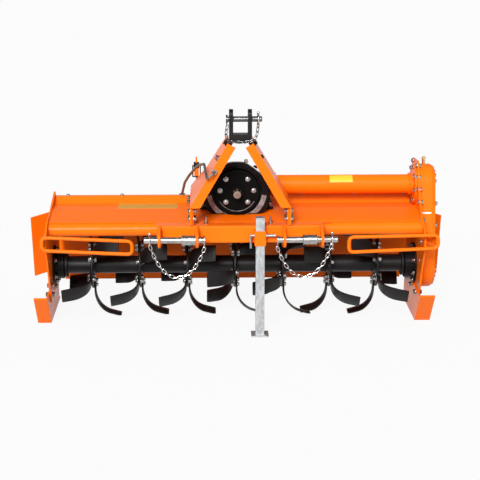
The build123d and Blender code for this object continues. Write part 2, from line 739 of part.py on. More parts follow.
with BuildPart() as gearbox_cover:
    with BuildSketch(front(GEARBOX_FRONT)):
        with Locations((GEARBOX_X, INPUT_H)):
            RegularPolygon(COVER_R, COVER_SIDES)
    extrude(amount=COVER)
    with BuildSketch(front(GEARBOX_FRONT - COVER)):
        with Locations((GEARBOX_X, INPUT_H)):
            RegularPolygon(COVER_R - COVER_RIM, COVER_SIDES)
            RegularPolygon(BOSS_R + 6, COVER_SIDES, mode=Mode.SUBTRACT)
    extrude(amount=-6, mode=Mode.SUBTRACT)
    with BuildSketch(front(GEARBOX_FRONT - COVER)):
        with Locations((GEARBOX_X, INPUT_H)):
            RegularPolygon(BOSS_R, COVER_SIDES)
    extrude(amount=10)
    with BuildSketch(front(GEARBOX_FRONT)):
        with Locations((GEARBOX_X, INPUT_H)):
            Circle(STUB_R + STUB_FIT)
    extrude(amount=COVER + 11, mode=Mode.SUBTRACT)

gearbox_cover.part.label = "gearbox_cover"
export_step(gearbox_cover.part, "parts/gearbox_cover.step")

COVER_FACE = GEARBOX_FRONT - COVER - 10
with BuildPart() as drive_stub:
    with BuildSketch(front(GEARBOX_FRONT - SEAT)):
        with Locations((GEARBOX_X, INPUT_H)):
            Circle(STUB_R)
    extrude(amount=GEARBOX_FRONT - SEAT - COVER_FACE + 4)
    with BuildSketch(front(COVER_FACE - 4)):
        with Locations((GEARBOX_X, INPUT_H)):
            Circle(STUB_ROOT_R)
            with PolarLocations(STUB_ROOT_R, SPLINES):
                Rectangle(2 * (STUB_R - STUB_ROOT_R), SPLINE_WIDTH)
            Circle(STUB_R, mode=Mode.INTERSECT)
    extrude(amount=COVER_FACE - 4 - STUB_FRONT)

drive_stub.part.label = "drive_stub"
export_step(drive_stub.part, "parts/drive_stub.step")

# ================================================================= side drive
with BuildPart() as side_shaft_tube:
    start = GEARBOX_X + GEARBOX_HALF
    with BuildSketch(Plane(origin=(0, SIDE_Y, AXIS_Z + INPUT_H), x_dir=(1, 0, 0), z_dir=(0, -1, 0))):
        with BuildLine():
            Polyline(
                (start, 0),
                (start, SIDE_NECK_R),
                (start + SIDE_NECK, SIDE_NECK_R),
                (start + SIDE_NECK, SIDE_FLANGE_R),
                (start + SIDE_NECK + SIDE_FLANGE, SIDE_FLANGE_R),
                (start + SIDE_NECK + SIDE_FLANGE, SIDE_TUBE_R),
                (HOOD_RIGHT - SIDE_FLANGE - SIDE_COLLAR - SIDE_CONE, SIDE_TUBE_R),
                (HOOD_RIGHT - SIDE_FLANGE - SIDE_COLLAR, SIDE_CONE_R),
                (HOOD_RIGHT - SIDE_FLANGE, SIDE_CONE_R),
                (HOOD_RIGHT - SIDE_FLANGE, SIDE_END_R),
                (HOOD_RIGHT, SIDE_END_R),
                (HOOD_RIGHT, 0),
                close=True,
            )
        make_face()
    revolve(axis=Axis((0, SIDE_Y, AXIS_Z + INPUT_H), (1, 0, 0)))

side_shaft_tube.part.label = "side_shaft_tube"
export_step(side_shaft_tube.part, "parts/side_shaft_tube.step")

with BuildPart() as gear_case:
    with BuildSketch(side(HOOD_RIGHT + PLATE)):
        with Locations((SIDE_Y, INPUT_H)):
            Circle(CASE_TOP_R)
        with Locations((0, 0)):
            Circle(CASE_LOW_R)
        make_hull()
    extrude(amount=CASE)
    chamfer(gear_case.faces().sort_by(Axis.X)[-1].edges(), CASE_EDGE, CASE_EDGE * 0.6)

gear_case.part.label = "gear_case"
export_step(gear_case.part, "parts/gear_case.step")

with BuildPart() as breather:
    with BuildSketch(level(INPUT_H + CASE_TOP_R + SEAT)):
        with Locations((HOOD_RIGHT + PLATE + CASE * 0.4, SIDE_Y)):
            Circle(BREATHER_R)
    extrude(amount=24)
    with BuildSketch(level(INPUT_H + CASE_TOP_R + 24 + SEAT)):
        with Locations((HOOD_RIGHT + PLATE + CASE * 0.4, SIDE_Y)):
            RegularPolygon(BREATHER_R * 1.3, 6)
    extrude(amount=10)

breather.part.label = "breather"
export_step(breather.part, "parts/breather.step")

# ================================================================= deck and hinge
with BuildPart() as deck:
    deck_line = [
        (DECK_FRONT, deck_under(DECK_FRONT)),
        (DECK_CREASE, deck_under(DECK_CREASE)),
        (RAIL_FRONT, RAIL_H - SHEET),
        (RAIL_REAR - SHEET, RAIL_H - SHEET),
        (RAIL_REAR - SHEET, RAIL_H - RAIL_DROP),
    ]
    with BuildSketch(side(HOOD_LEFT)):
        with BuildLine():
            Polyline(*bent(deck_line, SHEET), close=True)
        make_face()
    extrude(amount=HOOD_WIDTH)

deck.part.label = "deck"
export_step(deck.part, "parts/deck.step")

# hinge: a fixed and a board knuckle share each station
HINGE_STATIONS = (-780.0, -275.0, 230.0, 735.0)
with BuildPart() as hinge_knuckles:
    for x in HINGE_STATIONS:
        with BuildSketch(side(x - KNUCKLE / 2)):
            with Locations((HINGE_Y, HINGE_H)):
                RegularPolygon(KNUCKLE_R, KNUCKLE_SIDES)
            with Locations(((RAIL_REAR + HINGE_Y) / 2, HINGE_H - KNUCKLE_R + 5)):
                Rectangle(HINGE_Y - RAIL_REAR, 10)
            with Locations((HINGE_Y, HINGE_H)):
                Circle(HINGE_ROD_R + PIN_FIT, mode=Mode.SUBTRACT)
        extrude(amount=KNUCKLE)

hinge_knuckles.part.label = "hinge_knuckles"
export_step(hinge_knuckles.part, "parts/hinge_knuckles.step")

with BuildPart() as hinge_rod:
    with BuildSketch(side(HOOD_LEFT + ROD_END)):
        with Locations((HINGE_Y, HINGE_H)):
            Circle(HINGE_ROD_R)
    extrude(amount=HOOD_WIDTH - 2 * ROD_END)

hinge_rod.part.label = "hinge_rod"
export_step(hinge_rod.part, "parts/hinge_rod.step")

# ================================================================= trailing board
with BuildPart() as trailing_board:
    fall_y = BOARD_BEND_Y - HINGE_Y
    fall_h = BOARD_BEND_H - HINGE_H
    reach = math.hypot(fall_y, fall_h)
    top = (KNUCKLE_R + BOARD_GAP) / reach
    upper = [
        (HINGE_Y + top * fall_y, HINGE_H + top * fall_h),
        (BOARD_BEND_Y, BOARD_BEND_H),
        (BOARD_FOOT_Y, BOARD_FOOT_H),
    ]
    outline = bent(upper, -SHEET)
    share = (BOARD_BEND_H - BOARD_EDGE_H) / (BOARD_BEND_H - BOARD_FOOT_H)
    with BuildSketch(side(HOOD_LEFT + TONGUE_IN)):
        with BuildLine():
            Polyline(*outline, close=True)
        make_face()
    extrude(amount=HOOD_WIDTH - 2 * TONGUE_IN)
    down = Vector(0, BOARD_FOOT_Y - BOARD_BEND_Y, BOARD_FOOT_H - BOARD_BEND_H)
    panel = Plane(
        origin=(0, BOARD_BEND_Y, AXIS_Z + BOARD_BEND_H), x_dir=(1, 0, 0), z_dir=down
    )
    left = HOOD_LEFT - BOARD_OVERHANG
    right = HOOD_RIGHT + BOARD_OVERHANG + 30.0
    with BuildSketch(panel):
        with BuildLine():
            Polyline(
                *bent(
                    [
                        (left - WING_OUT, WING_FORWARD),
                        (left, 0),
                        (right, 0),
                        (right + WING_OUT, WING_FORWARD),
                    ],
                    SHEET,
                ),
                close=True,
            )
        make_face()
    extrude(amount=down.length * share)
    for x in HINGE_STATIONS:
        with BuildSketch(side(x + KNUCKLE / 2 + KNUCKLE_GAP)):
            with Locations((HINGE_Y, HINGE_H)):
                RegularPolygon(KNUCKLE_R, KNUCKLE_SIDES)
            with BuildLine():
                Polyline(
                    (HINGE_Y, HINGE_H),
                    outline[0],
                    outline[-1],
                    close=True,
                )
            make_face()
        extrude(amount=KNUCKLE)
    with BuildSketch(side(HOOD_LEFT)):
        with Locations((HINGE_Y, HINGE_H)):
            Circle(HINGE_ROD_R + HINGE_FIT)
    extrude(amount=HOOD_WIDTH, mode=Mode.SUBTRACT)

trailing_board.part.label = "trailing_board"
export_step(trailing_board.part, "parts/trailing_board.step")

# board's adjuster: an upright bar on a forked foot, with a slider and its bail
ADJUSTER_X = -200.0
ADJUSTER_TOP_H = 490.0
FORK_HALF = 24.0
FORK_TOP_H = 360.0
SLIDER_HALF = 11.0
SLIDER_LOW_H = 398.0
SLIDER_TOP_H = 462.0
BAIL_HALF = 18.0
BAIL_H = 448.0              # bail's pivot
BAIL_R = 3.0
with BuildPart() as board_adjuster:
    with BuildSketch(front(RAIL_REAR)):
        with Locations((ADJUSTER_X, (FORK_TOP_H - PLATE + ADJUSTER_TOP_H) / 2)):
            Rectangle(PLATE, ADJUSTER_TOP_H - FORK_TOP_H + PLATE)
        with Locations((ADJUSTER_X, (SLIDER_LOW_H + SLIDER_TOP_H) / 2)):
            Rectangle(2 * SLIDER_HALF, SLIDER_TOP_H - SLIDER_LOW_H)
        with BuildLine():
            Polyline(
                (ADJUSTER_X - FORK_HALF, RAIL_H),
                (ADJUSTER_X - FORK_HALF + PLATE, RAIL_H),
                (ADJUSTER_X, FORK_TOP_H - 2 * PLATE),
                (ADJUSTER_X + FORK_HALF - PLATE, RAIL_H),
                (ADJUSTER_X + FORK_HALF, RAIL_H),
                (ADJUSTER_X + PLATE / 2, FORK_TOP_H),
                (ADJUSTER_X - PLATE / 2, FORK_TOP_H),
                close=True,
            )
        make_face()
    extrude(amount=RAIL_REAR - RAIL_FRONT)
    with BuildSketch(side(ADJUSTER_X - 2 * SLIDER_HALF)):
        with Locations(((RAIL_FRONT + RAIL_REAR) / 2, BAIL_H)):
            RegularPolygon(BAIL_R + PIN_FIT, ROD_SIDES)
    extrude(amount=4 * SLIDER_HALF, mode=Mode.SUBTRACT)

board_adjuster.part.label = "board_adjuster"
export_step(board_adjuster.part, "parts/board_adjuster.step")

with BuildPart() as adjuster_bail:
    pivot_y = (RAIL_FRONT + RAIL_REAR) / 2
    bail_front = RAIL_FRONT - 2 * BAIL_R
    rod(
        [
            (ADJUSTER_X + BAIL_HALF, bail_front, SLIDER_LOW_H),
            (ADJUSTER_X + BAIL_HALF, pivot_y, BAIL_H),
            (ADJUSTER_X - BAIL_HALF, pivot_y, BAIL_H),
            (ADJUSTER_X - BAIL_HALF, bail_front, SLIDER_LOW_H),
            (ADJUSTER_X + BAIL_HALF + BAIL_R / 2, bail_front, SLIDER_LOW_H),
        ],
        BAIL_R,
    )

adjuster_bail.part.label = "adjuster_bail"
export_step(adjuster_bail.part, "parts/adjuster_bail.step")

# rest hook for the drive shaft: a bent rod from a socket on the left cheek to the rear rail
HOOK_R = 5.0
HOOK_X = -118.0
HOOK_H = 515.0
SOCKET_R = 13.0
SOCKET_DEEP = 18.0
HOOK_FOOT_X = -270.0
HOOK_CLEAR = 55.0           # from the cheek's outer face to the rod
with BuildPart() as hook_socket:
    with BuildSketch(front(CHEEK_FRONT)):
        with Locations((HOOK_X, HOOK_H)):
            RegularPolygon(SOCKET_R, 6)
            RegularPolygon(HOOK_R + PIN_FIT, ROD_SIDES, mode=Mode.SUBTRACT)
    extrude(amount=SOCKET_DEEP)

hook_socket.part.label = "hook_socket"
export_step(hook_socket.part, "parts/hook_socket.step")

with BuildPart() as shaft_rest_hook:
    rod(
        [
            (HOOK_X, CHEEK_FRONT - SEAT, HOOK_H),
            (HOOK_X, CHEEK_FRONT - SOCKET_DEEP - 3 * HOOK_R, HOOK_H),
            (HOOK_X - 34, CHEEK_FRONT - SOCKET_DEEP - 4 * HOOK_R, HOOK_H - 26),
            (-cheek_outer(HOOK_H + 38) - HOOK_CLEAR, -200, HOOK_H + 38),
            (-cheek_outer(HOOK_H + 32) - HOOK_CLEAR, -170, HOOK_H + 32),
            (-cheek_outer(HOOK_H - 45) - HOOK_CLEAR, -50, HOOK_H - 45),
            (HOOK_FOOT_X, (RAIL_FRONT + RAIL_REAR) / 2, RAIL_H + PLATE),
        ],
        HOOK_R,
    )
    with BuildSketch(level(RAIL_H)):
        with Locations((HOOK_FOOT_X, (RAIL_FRONT + RAIL_REAR) / 2)):
            Rectangle(30, RAIL_REAR - RAIL_FRONT - 2)
    extrude(amount=PLATE)

shaft_rest_hook.part.label = "shaft_rest_hook"
export_step(shaft_rest_hook.part, "parts/shaft_rest_hook.step")

# ================================================================= rotor
DISC_STATIONS = [DISC_FIRST_X + i * DISC_PITCH for i in range(len(BLADE_PHASES))]
SHAFT_LEFT = HOOD_LEFT + HUB + HUB_GAP
SHAFT_RIGHT = HOOD_RIGHT - HUB - HUB_GAP
with BuildPart() as rotor_shaft:
    # columns: start x, end x, radius
    for x0, x1, radius in [
        (HOOD_LEFT + JOURNAL_END, HOOD_RIGHT - JOURNAL_END, JOURNAL_R),
        (SHAFT_LEFT, SHAFT_LEFT + END_FLANGE, END_FLANGE_R),
        (SHAFT_LEFT + END_FLANGE, SHAFT_RIGHT - END_FLANGE, SHAFT_R),
        (SHAFT_RIGHT - END_FLANGE, SHAFT_RIGHT, END_FLANGE_R),
    ] + [(x - DISC / 2, x + DISC / 2, DISC_R) for x in DISC_STATIONS]:
        with BuildSketch(side(x0)):
            if radius == JOURNAL_R:
                Circle(radius)
            else:
                RegularPolygon(radius, SHAFT_SIDES)
        extrude(amount=x1 - x0)

rotor_shaft.part.label = "rotor_shaft"
export_step(rotor_shaft.part, "parts/rotor_shaft.step")

for label, x, radius in (
    ("bearing_left", HOOD_LEFT, BEARING_R),
    ("final_drive_hub_right", HOOD_RIGHT - HUB, HUB_R),
):
    with BuildPart() as hub:
        with BuildSketch(side(x)):
            RegularPolygon(radius, SHAFT_SIDES)
            Circle(JOURNAL_R + JOURNAL_FIT, mode=Mode.SUBTRACT)
        extrude(amount=HUB)
    hub.part.label = label
    export_step(hub.part, "parts/" + label + ".step")

# one right-hand blade about the origin: x along the shaft, y trailing, z outward
bend = math.radians(BLADE_BEND_ANGLE)
with BuildPart() as blade:
    spine = [(DISC / 2, BLADE_ROOT_R)]
    for i in range(BLADE_FACES + 1):
        turn = bend * i / BLADE_FACES
        spine.append(
            (
                DISC / 2 + BLADE_BEND_R * (1 - math.cos(turn)),
                BLADE_BEND_START + BLADE_BEND_R * math.sin(turn),
            )
        )
    spine.append(
        (
            spine[-1][0] + BLADE_TIP * math.sin(bend),
            spine[-1][1] + BLADE_TIP * math.cos(bend),
        )
    )
    with BuildSketch(Plane.XZ.offset(BLADE_TRAIL + BLADE_SHANK)):
        with BuildLine():
            Polyline(*bent(spine, -BLADE), close=True)
        make_face()
    extrude(amount=-2 * (BLADE_TRAIL + BLADE_SHANK))
    with BuildSketch(Plane.YZ):
        with BuildLine():
            Polyline(
                (-BLADE_SHANK / 2, BLADE_ROOT_R),
                (BLADE_SHANK / 2, BLADE_ROOT_R),
                (BLADE_SHANK / 2 + 1, BLADE_BEND_START + 10),
                (BLADE_TRAIL, BLADE_SHOULDER * ROTOR_RADIUS),
                (BLADE_TRAIL, math.sqrt(ROTOR_RADIUS**2 - BLADE_TRAIL**2)),
                (-BLADE_LEAD, math.sqrt(ROTOR_RADIUS**2 - BLADE_LEAD**2)),
                (-BLADE_SHANK / 2, BLADE_BEND_START + 10),
                close=True,
            )
        make_face()
    extrude(amount=2 * BLADE_BEND_R, both=True, mode=Mode.INTERSECT)

right_hand = blade.part
left_hand = mirror(right_hand, about=Plane.YZ)
with BuildPart() as tines:
    for x, phase in zip(DISC_STATIONS, BLADE_PHASES):
        for k in range(BLADES_PER_HAND):
            turn = phase + k * 360.0 / BLADES_PER_HAND
            for hand, angle in ((left_hand, turn), (right_hand, turn + 180.0 / BLADES_PER_HAND)):
                with Locations(Location((x, 0, AXIS_Z), (180.0 - angle, 0, 0))):
                    add(hand)

tines.part.label = "tines"
export_step(tines.part, "parts/tines.step")

# ================================================================= stand
with BuildPart() as stand_sleeve:
    with BuildSketch(level(SOCKET_LOW_H)):
        with Locations((STAND_X, BEAM_FRONT - SOCKET / 2)):
            Rectangle(SOCKET, SOCKET)
            Rectangle(SOCKET - 2 * SOCKET_WALL, SOCKET - 2 * SOCKET_WALL, mode=Mode.SUBTRACT)
    extrude(amount=SOCKET_TOP_H - SOCKET_LOW_H)
    with BuildSketch(side(STAND_X - SOCKET)):
        with Locations((BEAM_FRONT - SOCKET / 2, LOCK_H)):
            Circle(LOCK_R + PIN_FIT)
    extrude(amount=2 * SOCKET, mode=Mode.SUBTRACT)

stand_sleeve.part.label = "stand_sleeve"
export_step(stand_sleeve.part, "parts/stand_sleeve.step")

with BuildPart() as stand_leg:
    with BuildSketch(level(-AXIS_Z)):
        with Locations((STAND_X, BEAM_FRONT - SOCKET / 2)):
            Rectangle(FOOT_PAD, FOOT_PAD)
    extrude(amount=FOOT_PAD_THICK)
    with BuildSketch(level(FOOT_PAD_THICK - AXIS_Z)):
        with Locations((STAND_X, BEAM_FRONT - SOCKET / 2)):
            Rectangle(LEG, LEG)
    extrude(amount=LEG_TOP_H + AXIS_Z - FOOT_PAD_THICK)

stand_leg.part.label = "stand_leg"
export_step(stand_leg.part, "parts/stand_leg.step")

with BuildPart() as stand_lock_pin:
    for x0, x1 in (
        (LOCK_LEFT, STAND_X - LEG / 2 - LOCK_GAP),
        (STAND_X + LEG / 2 + LOCK_GAP, LOCK_RIGHT),
    ):
        with BuildSketch(side(x0)):
            with Locations((BEAM_FRONT - SOCKET / 2, LOCK_H)):
                Circle(LOCK_R)
        extrude(amount=x1 - x0)
    with BuildSketch(level(LOCK_HANDLE_H)):
        with Locations((LOCK_LEFT, BEAM_FRONT - SOCKET / 2)):
            RegularPolygon(LOCK_R, ROD_SIDES)
    extrude(amount=LOCK_H + LOCK_R - LOCK_HANDLE_H)

stand_lock_pin.part.label = "stand_lock_pin"
export_step(stand_lock_pin.part, "parts/stand_lock_pin.step")

# ================================================================= guards
for label, sign in (("guard_left", -1), ("guard_right", 1)):
    with BuildPart() as guard:
        with BuildSketch(front(GUARD_Y)):
            for grow, mode in ((BAR_R, Mode.ADD), (-BAR_R, Mode.SUBTRACT)):
                with BuildLine():
                    Polyline(
                        *rounded(
                            [
                                (sign * (GUARD_INNER_X - grow), GUARD_LOW_H - GUARD_DROOP - grow),
                                (sign * (GUARD_OUTER_X + grow), GUARD_LOW_H - grow),
                                (sign * (GUARD_OUTER_X + grow), GUARD_TOP_H + grow),
                                (sign * (GUARD_INNER_X - grow), GUARD_TOP_H - GUARD_DROOP + grow),
                            ],
                            GUARD_CORNER + grow,
                            GUARD_FACES,
                        ),
                        close=True,
                    )
                make_face(mode=mode)
        extrude(amount=BAR_R, both=True)
        chamfer(guard.edges().filter_by(Axis.Y, reverse=True), BAR_R * OCTAGON_CUT)
        mid_h = (GUARD_LOW_H + GUARD_TOP_H) / 2
        if sign < 0:
            strap = [
                (HOOD_LEFT - PLATE, -180.0),
                (HOOD_LEFT - PLATE, GUARD_Y),
            ]
            thick = -PLATE
        else:
            strap = [
                (HOOD_RIGHT + PLATE, -140.0),
                (HOOD_RIGHT + PLATE, -230.0),
                (GUARD_OUTER_X - PLATE, GUARD_Y + 20),
                (GUARD_OUTER_X - PLATE, GUARD_Y),
            ]
            thick = PLATE
        with BuildSketch(level(mid_h - GUARD_STRAP / 2)):
            with BuildLine():
                Polyline(*bent(strap, thick), close=True)
            make_face()
        extrude(amount=GUARD_STRAP)
    guard.part.label = label
    export_step(guard.part, "parts/" + label + ".step")

# ================================================================= skids
for label, web_x, out_x, width in (
    ("skid_left", HOOD_LEFT - 2 * PLATE, HOOD_LEFT - PLATE - SKID_LEFT_WIDTH, SKID_LEFT_WIDTH),
    ("skid_right", HOOD_RIGHT - PLATE, HOOD_RIGHT - PLATE, SKID_RIGHT_WIDTH),
):
    sole = [
        (SKID_REAR, -AXIS_Z),
        (SKID_FRONT, -AXIS_Z),
        (SKID_RAMP_Y, SKID_RAMP_H),
    ]
    with BuildPart() as skid:
        with BuildSketch(side(out_x)):
            with BuildLine():
                Polyline(*bent(sole, -PLATE), close=True)
            make_face()
        extrude(amount=width)
        with BuildSketch(side(web_x)):
            with BuildLine():
                Polyline(
                    (SKID_RAMP_Y + 2, SKID_RAMP_H),
                    (SKID_FRONT, PLATE / 2 - AXIS_Z),
                    (SKID_REAR - 40, PLATE / 2 - AXIS_Z),
                    (SKID_REAR - 60, SKID_WEB_H),
                    close=True,
                )
            make_face()
        extrude(amount=PLATE)
    skid.part.label = label
    export_step(skid.part, "parts/" + label + ".step")
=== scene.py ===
# %% [markdown]
# # A rotary tiller, painted and dressed
# The machine hangs on a tractor's three arms and stirs the soil with a rotor of bent blades.
# Its plates, tubes and castings come ready made from the CAD frame. This lesson paints them,
# adds what a workshop adds last, such as bolts, weld beads, chains and labels, and lights them.

# %% Start
import json
import math

import bpy
import numpy as np
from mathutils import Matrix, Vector


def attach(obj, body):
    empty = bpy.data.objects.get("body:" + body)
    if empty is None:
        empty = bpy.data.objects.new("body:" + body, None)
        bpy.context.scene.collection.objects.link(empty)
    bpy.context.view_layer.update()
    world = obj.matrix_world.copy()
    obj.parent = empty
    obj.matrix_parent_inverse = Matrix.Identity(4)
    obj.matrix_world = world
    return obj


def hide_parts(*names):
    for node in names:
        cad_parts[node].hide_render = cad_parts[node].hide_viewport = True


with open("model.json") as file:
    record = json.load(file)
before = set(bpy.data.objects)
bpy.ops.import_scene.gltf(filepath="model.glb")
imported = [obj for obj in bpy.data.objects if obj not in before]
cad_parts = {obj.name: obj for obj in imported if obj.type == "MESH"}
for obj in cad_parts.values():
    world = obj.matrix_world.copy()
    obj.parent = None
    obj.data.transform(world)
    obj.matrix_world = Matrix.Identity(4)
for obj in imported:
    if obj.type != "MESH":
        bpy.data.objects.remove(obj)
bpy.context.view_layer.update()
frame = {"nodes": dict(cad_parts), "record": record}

# %% [markdown]
# The CAD model counts in millimetres, and heights are told from the rotor's axis, as on a
# workshop drawing. Two small helpers turn such numbers into places in the scene, so that every
# number below can be read beside that drawing.

# %% Units and places
MM = 0.001
AXIS_Z = 251.0  # the rotor's axis above the floor


def places(rows):
    """Points, or rows of points, given in mm as X, Y and height above the rotor's axis, as
    places in metres."""
    return (np.atleast_2d(np.asarray(rows, float)) + [0, 0, AXIS_Z]) * MM


def unit(vectors):
    """Vectors divided by their own lengths."""
    vectors = np.asarray(vectors, float)
    return vectors / np.linalg.norm(vectors, axis=-1, keepdims=True)


print("rotor axis", places([(0, 0, 0)])[0])

# %% [markdown]
# A shape here is a list of points with four-cornered and three-cornered faces. Most small parts
# of a machine are a row of like rings joined by a skin: a bolt, a pin, a rod, a blade. So one
# helper skins rings, one turns the faces outward, and one repeats a shape in many places. They
# work on whole arrays, which is quick.

# %% Skins
def skin(rings, closed=False):
    """Joins N rings of M points by quads. Open ends are closed by a fan to the ring's middle.
    Quad (n, m) has the corners (n, m), (n, m+1), (n+1, m+1) and (n+1, m)."""
    n, m = rings.shape[:2]
    rows = np.arange(n if closed else n - 1)[:, None]
    columns = np.arange(m)[None, :]
    after, beside = (rows + 1) % n, (columns + 1) % m
    quads = np.stack(
        [rows * m + columns, rows * m + beside, after * m + beside, after * m + columns], -1
    ).reshape(-1, 4)
    points = rings.reshape(-1, 3)
    if closed:
        return outward((points, quads, np.zeros((0, 3), int)))
    points = np.concatenate([points, rings[:1].mean(1), rings[-1:].mean(1)])
    c, c1 = columns[0], (columns[0] + 1) % m
    first = np.stack([np.full(m, n * m), c1, c], 1)
    last = np.stack([np.full(m, n * m + 1), (n - 1) * m + c, (n - 1) * m + c1], 1)
    return outward((points, quads, np.concatenate([first, last])))


def outward(shape):
    """Turns all faces round if the volume they enclose comes out negative.
    The volume is a sixth of the sum of the triple products of the triangles' corners."""
    points, quads, triangles = shape
    every = np.concatenate([quads[:, [0, 1, 2]], quads[:, [0, 2, 3]], triangles])
    a, b, c = (points[every[:, i]] - points.mean(0) for i in range(3))
    if np.einsum("ij,ij->i", np.cross(a, b), c).sum() < 0:
        return points, quads[:, ::-1], triangles[:, ::-1]
    return shape


def repeat(shape, turns, spots):
    """Copies of a shape: copy i is every point times the matrix turns[i], moved by spots[i]."""
    points, quads, triangles = shape
    spots = np.atleast_2d(spots)
    turns = np.broadcast_to(turns, (len(spots), 3, 3))
    moved = np.einsum("bij,kj->bki", turns, points) + spots[:, None, :]
    shift = (np.arange(len(spots)) * len(points))[:, None, None]
    mirrored = np.linalg.det(turns)[:, None, None] < 0
    quads = np.where(mirrored, quads[None, :, ::-1], quads[None]) + shift
    triangles = np.where(mirrored, triangles[None, :, ::-1], triangles[None]) + shift
    return moved.reshape(-1, 3), quads.reshape(-1, 4), triangles.reshape(-1, 3)


def together(*shapes):
    """Several shapes as one."""
    points, quads, triangles, count = [], [], [], 0
    for shape in shapes:
        points.append(shape[0])
        quads.append(shape[1] + count)
        triangles.append(shape[2] + count)
        count += len(shape[0])
    return np.concatenate(points), np.concatenate(quads), np.concatenate(triangles)


def facing(axes):
    """Turning matrices whose third column is the given axis, the others square to it."""
    axes = unit(np.atleast_2d(axes))
    helper = np.where(np.abs(axes[:, 2:]) > 0.9, [[1.0, 0, 0]], [[0, 0, 1.0]])
    first = unit(np.cross(helper, axes))
    return np.stack([first, np.cross(axes, first), axes], -1)


along_x = facing([(1, 0, 0)])[0]
print("a shape's own axis, laid across the machine:", along_x[:, 2])

# %% [markdown]
# ## Paints and metals
# A finish is a few nodes: a base colour that drifts a little from place to place, a roughness
# that does the same, and a fine bump. The paint shop sprays one thick coat, so the orange
# keeps the slight ripple that painters call orange peel. A soft edge is drawn by the Bevel
# node, since sheared plates always lose their razor edge under paint.

# %% Finish maker
COAT_ROUGHNESS = 0.06
BUMP_DEPTH = 0.0006  # metres
FINER = 6  # how much finer the bump's noise is than the colour's


def finish(name, colour, drift, roughness, metallic=0.0, coat=0.0, grain=60.0, peel=0.0,
           edge=0.0, shine=0.5, stretch=(1, 1, 1), pattern="noise"):
    """A Principled material whose colour runs between colour x (1 - drift) and
    colour x (1 + drift), and whose bump is a finer noise. Both are read at each point's own
    place on the object. The edge is the Bevel node's radius, in metres."""
    paint = bpy.data.materials.new(name)
    paint.use_nodes = True
    nodes, links = paint.node_tree.nodes, paint.node_tree.links
    shader = nodes["Principled BSDF"]
    shader.inputs["Metallic"].default_value = metallic
    shader.inputs["Coat Weight"].default_value = coat
    shader.inputs["Coat Roughness"].default_value = COAT_ROUGHNESS
    shader.inputs["Specular IOR Level"].default_value = shine
    spot = nodes.new("ShaderNodeTexCoord")
    spread = nodes.new("ShaderNodeMapping")
    spread.inputs["Scale"].default_value = stretch
    links.new(spot.outputs["Object"], spread.inputs["Vector"])
    if pattern == "spangle":
        texture = nodes.new("ShaderNodeTexVoronoi")
        value = texture.outputs["Color"]
    else:
        texture = nodes.new("ShaderNodeTexNoise")
        texture.inputs["Detail"].default_value = 4.0
        value = texture.outputs["Fac"]
    texture.inputs["Scale"].default_value = grain
    links.new(spread.outputs["Vector"], texture.inputs["Vector"])
    shades = nodes.new("ShaderNodeValToRGB")
    low, high = shades.color_ramp.elements
    low.position, high.position = 0.3, 0.7
    low.color = (*[max(0.0, c * (1 - drift)) for c in colour], 1)
    high.color = (*[min(1.0, c * (1 + drift)) for c in colour], 1)
    links.new(value, shades.inputs["Fac"])
    links.new(shades.outputs["Color"], shader.inputs["Base Color"])
    rough = nodes.new("ShaderNodeMapRange")
    rough.inputs["To Min"].default_value = roughness * 0.8
    rough.inputs["To Max"].default_value = roughness * 1.25
    links.new(value, rough.inputs["Value"])
    links.new(rough.outputs["Result"], shader.inputs["Roughness"])
    bump = nodes.new("ShaderNodeBump")
    bump.inputs["Strength"].default_value = peel
    bump.inputs["Distance"].default_value = BUMP_DEPTH
    fine = nodes.new("ShaderNodeTexNoise")
    fine.inputs["Scale"].default_value = grain * FINER
    links.new(spread.outputs["Vector"], fine.inputs["Vector"])
    links.new(fine.outputs["Fac"], bump.inputs["Height"])
    if edge:
        soft = nodes.new("ShaderNodeBevel")
        soft.samples = 4
        soft.inputs["Radius"].default_value = edge
        links.new(soft.outputs["Normal"], bump.inputs["Normal"])
    links.new(bump.outputs["Normal"], shader.inputs["Normal"])
    return paint


orange = finish("orange_paint", (0.94, 0.165, 0.003), 0.03, 0.32, coat=0.04, grain=7, peel=0.08,
                edge=0.0018, shine=0.12)
black = finish("black_paint", (0.008, 0.0068, 0.0066), 0.3, 0.42, grain=9, peel=0.25,
               edge=0.0015, shine=0.22)
cast_black = finish("cast_black_paint", (0.005, 0.0045, 0.0045), 0.35, 0.4, grain=30, peel=0.8,
                    edge=0.002, shine=0.14)
cover_black = finish("cover_black_paint", (0.0022, 0.0018, 0.0018), 0.3, 0.45, grain=12,
                     peel=0.3, edge=0.0015, shine=0.07)
# grey on black castings that paints the pale floor's reflection and a highlight
casting_painted_reflection = finish("casting_painted_reflection", (0.26, 0.258, 0.27), 0.5, 0.42, grain=45, peel=0.9,
                      shine=0.5)
zinc = finish("zinc_plate", (0.42, 0.41, 0.40), 0.3, 0.3, metallic=1.0, grain=60, peel=0.3)
galvanised = finish("galvanised_steel", (0.46, 0.47, 0.48), 0.12, 0.42, metallic=0.7, grain=130,
                    peel=0.1, stretch=(1, 1, 0.5), pattern="spangle", edge=0.002)
dark_zinc = finish("weathered_zinc", (0.17, 0.165, 0.16), 0.3, 0.36, metallic=1.0, grain=60,
                   peel=0.3)
steel = finish("oiled_steel", (0.20, 0.16, 0.13), 0.25, 0.35, metallic=1.0, grain=50, peel=0.1)
rust = finish("rusty_steel", (0.23, 0.155, 0.12), 0.3, 0.5, metallic=0.4, grain=120, peel=0.4)
brass = finish("turned_brass", (0.72, 0.52, 0.22), 0.1, 0.3, metallic=1.0, grain=80, peel=0.1)
pale_steel = finish("polished_ring", (0.62, 0.61, 0.60), 0.12, 0.22, metallic=1.0, grain=60,
                    peel=0.05)
hook_steel = finish("hook_steel", (0.17, 0.13, 0.11), 0.3, 0.42, metallic=0.6, grain=60, peel=0.3)
gold_film = finish("gold_label", (0.72, 0.40, 0.05), 0.08, 0.35, metallic=0.3, grain=20)
